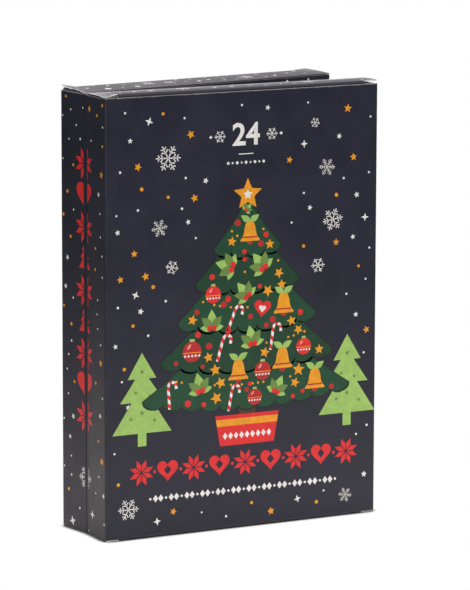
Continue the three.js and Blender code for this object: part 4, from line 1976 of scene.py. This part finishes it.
@dataclass(frozen=True)
class Studio:
    """The camera at the photograph's view, a pale floor and soft lights."""

    eye: Place = (-1.21304, -2.37607, 0.62464)
    azimuth: float = -27.45
    elevation: float = 9.79
    roll: float = 0.16
    focal_px: float = 3682.8
    height_px: float = 590.0
    sensor: float = 36.0
    view_end: float = 60.0
    floor_radius: float = 14.0
    floor_level: float = -0.2 * MM
    # Painted pool of light: for all but camera rays the floor's colour is bright near the object and dark far
    # off.
    floor_tint: Colour = (1.0, 0.92, 0.85)
    pool: Place = (0.07, -0.03, 0.0)
    pool_reach: Point = (-0.10, 1.22)
    pool_tone: Point = (0.96, 0.06)
    # Painted glow: for all but camera rays the floor far behind glows and lights the lids' grazing
    # reflections.
    far: Place = (1.9, 3.7, 0.0)
    far_reach: Point = (0.8, 3.2)
    far_tone: float = 0.75
    # Painted contact shadow: the white that the camera sees darkens where the object covers the floor.
    contact: float = 8.0 * MM
    contact_share: Point = (0.50, 0.85)
    contact_tone: Point = (0.02, 1.0)
    behind: Place = (0.46, 0.88, 0.12)
    behind_reach: Point = (0.72, 0.99)
    horizon: float = 0.22
    glow: float = 0.62
    above_reach: Point = (0.22, 0.85)
    zenith: float = 0.92
    lamps: tuple[tuple[str, Place, Place, float, float], ...] = (
        ("key", (-0.35, -2.9, 1.8), (0.0, 0.0, 0.15), 1.4, 47.0),
        ("overhead", (0.1, 0.2, 2.3), (0.0, 0.0, 0.2), 1.6, 16.0),
        ("rear_fill", (0.3, 2.2, 2.4), (0.0, 0.0, 0.15), 1.6, 12.0),
    )

    def camera(self) -> None:
        """Place the camera."""
        az, el, roll = (math.radians(a) for a in (self.azimuth, self.elevation, self.roll))
        back = Vector((math.sin(az) * math.cos(el), -math.cos(az) * math.cos(el), math.sin(el)))
        right = (-back).cross(UP).normalized()
        tilted = right * math.cos(roll) + right.cross(-back) * math.sin(roll)
        data = bpy.data.cameras.new("camera")
        data.sensor_fit = "VERTICAL"
        data.sensor_height = self.sensor
        data.lens = self.focal_px * self.sensor / self.height_px
        data.clip_end = self.view_end
        camera = link("camera", data)
        basis = Matrix((tilted, back.cross(tilted), back)).transposed().to_4x4()
        camera.matrix_world = Matrix.Translation(self.eye) @ basis
        bpy.context.scene.camera = camera
        LOG.info("studio: camera lens %.1f mm", data.lens)

    def floor(self) -> None:
        """Lay the pale floor: white to the eye but for a painted contact shadow under the object, and to
        other rays a painted pool of light round it and a painted glow far behind it.
        """
        deselect()
        bpy.ops.mesh.primitive_circle_add(vertices=96, radius=self.floor_radius, fill_type="NGON",
                                          location=(0, 0, self.floor_level))
        piece = bpy.context.object
        settle(piece)
        piece.name = "floor"
        shader = Shader("pale_floor")
        near, far = (shader.node("VectorMath", {0: shader.coordinates["Object"], 1: centre},
                                 operation="DISTANCE").outputs["Value"] for centre in (self.pool, self.far))
        # Painted contact shadow on the camera-seen white.
        covered = shader.node("AmbientOcclusion", {"Distance": self.contact}, samples=12).outputs["AO"]
        shade = shader.span(covered, *self.contact_share, *self.contact_tone)
        white = shader.node("Emission", {"Strength": shade})
        # Painted pool of light, and below it a painted glow far behind, seen by all but camera rays.
        share = shader.span(near, *self.pool_reach, *self.pool_tone)
        piece.data.materials.append(shader.finish({
            "Base Color": shader.mix(share, (0.0, 0.0, 0.0), self.floor_tint), "Roughness": 0.9,
            "Specular IOR Level": 0.0, "Emission Color": (1.0, 1.0, 1.0),
            "Emission Strength": shader.span(far, *self.far_reach, self.far_tone, 0.0)}))
        shader.seen(shader.surface.outputs[0], white.outputs[0], "Material Output")

    def world(self) -> None:
        """Surround it with a soft room: white to the eye, bright low behind, greyer on the camera's side."""
        world = bpy.data.worlds.new("studio")
        bpy.context.scene.world = world
        world.use_nodes = True
        graph = Graph(world.node_tree)
        way = graph.coordinates["Generated"]
        behind = graph.node("VectorMath", {0: way, 1: self.behind}, operation="DOT_PRODUCT").outputs["Value"]
        glow = graph.span(behind, *self.behind_reach, self.horizon, self.glow)
        height = graph.node("SeparateXYZ", {0: way}).outputs["Z"]
        above = graph.span(height, *self.above_reach, 0.0, self.zenith, "LINEAR")
        room = graph.tree.nodes["Background"]
        graph.feed(room, {"Color": (1.0, 1.0, 1.0), "Strength": graph.math("ADD", glow, above)})
        white = graph.node("Background", {"Color": (1.0, 1.0, 1.0)})
        graph.seen(room.outputs[0], white.outputs[0], "World Output")

    def build(self) -> None:
        """Set up the whole studio, with its square soft lights."""
        self.camera()
        self.floor()
        self.world()
        for name, place, aim, size, watts in self.lamps:
            data = bpy.data.lights.new(name, "AREA")
            data.size = size
            data.energy = watts
            lamp = link(name, data)
            lamp.location = place
            lamp.rotation_euler = (Vector(aim) - Vector(place)).to_track_quat("-Z", "Y").to_euler()
        bpy.context.scene.view_settings.view_transform = "Standard"


# The whole calendar


@dataclass
class Printer:
    """Prints every face of the calendar: the walls, the lids and the doors."""

    book: Book
    motifs: MotifBox
    palette: Palette

    def walls(self, side: Side) -> None:
        """Print the outer panel, the inner panel and both walls of a half.

        Args:
            side: Which half.
        """
        front = side is Side.FRONT
        doors = [self.book.zone(side, node) for node in sorted(frame["nodes"])
                 if node.startswith("door_") and self.book.half_of(node).side is side]
        for name, wall, draw, more in (
                ("print", Wall.OUTER, (FrontFace() if front else RearFace()).draw, ()),
                ("spine_print", Wall.SPINE, SpineFace().draw, (side,)),
                ("fore_edge_print", Wall.FORE_EDGE, Sprinkle(61 if front else 62, 14.0, 2.0).scatter, ()),
                ("inner_print", Wall.INNER, Sprinkle(71 if front else 72, 9.0, 1.2).scatter, (doors,))):
            panel = self.book.panel(side, wall)
            sheet = PrintSheet(f"{side.value}_{name}", panel, self.motifs, self.palette)
            draw(sheet, *more)
            sheet.build()

    def lid(self, lid: Object, half: Half, end: End) -> None:
        """Print a dressed lid at one end of a half.

        Args:
            lid: The dressed lid.
            half: The half that it closes.
            end: The end that it closes.
        """
        sheet = LidSheet(lid, half, end, self.motifs, self.palette)
        area = Zone(8.0, 4.0, SIZES.width / MM - 8.0, SIZES.depth / MM - 4.0)
        Sprinkle(51 + len(sheet.panel.body), 13.0, 0.8, LID_MARKS).scatter(sheet, area=area)
        sheet.build()

    def door(self, side: Side, node: str) -> None:
        """Print the door of this node with its number.

        Args:
            side: The half that holds the door.
            node: The door's node.
        """
        zone = self.book.zone(side, node)
        panel = self.book.panel(side, Wall.INNER, node)
        sheet = PrintSheet(f"{node}_print", panel, self.motifs, self.palette)
        DoorFace().draw(sheet, int(node[-2:]), (zone.left + zone.right) / 2, (zone.foot + zone.head) / 2)
        sheet.build()


def main() -> None:
    """Build the dressed calendar, then its studio."""
    logging.basicConfig(level=logging.INFO, format="%(name)s: %(message)s")
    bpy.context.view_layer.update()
    book = Book(frame["joints"])
    palette = Palette(book)
    printer = Printer(book, MotifBox(), palette)
    for side, half in book.halves.items():
        Carton(f"{side.value}_carton", half).build(palette)
        Tray(f"{side.value}_tray", half).build(palette)
        for end in End:
            name = f"{side.value}_{end.value}_lid"
            printer.lid(Lid(name, half, name).build(palette), half, end)
        printer.walls(side)
    SpineCrease().build(book, palette)
    for node in sorted(frame["nodes"]):
        half = book.half_of(node)
        if node.startswith("door_"):
            Door(node, half, node).build(palette)
            printer.door(half.side, node)
        elif node.startswith("chocolate_"):
            Chocolate(node, half).build(palette)
    Studio().build()


if __name__ == "__main__":
    main()
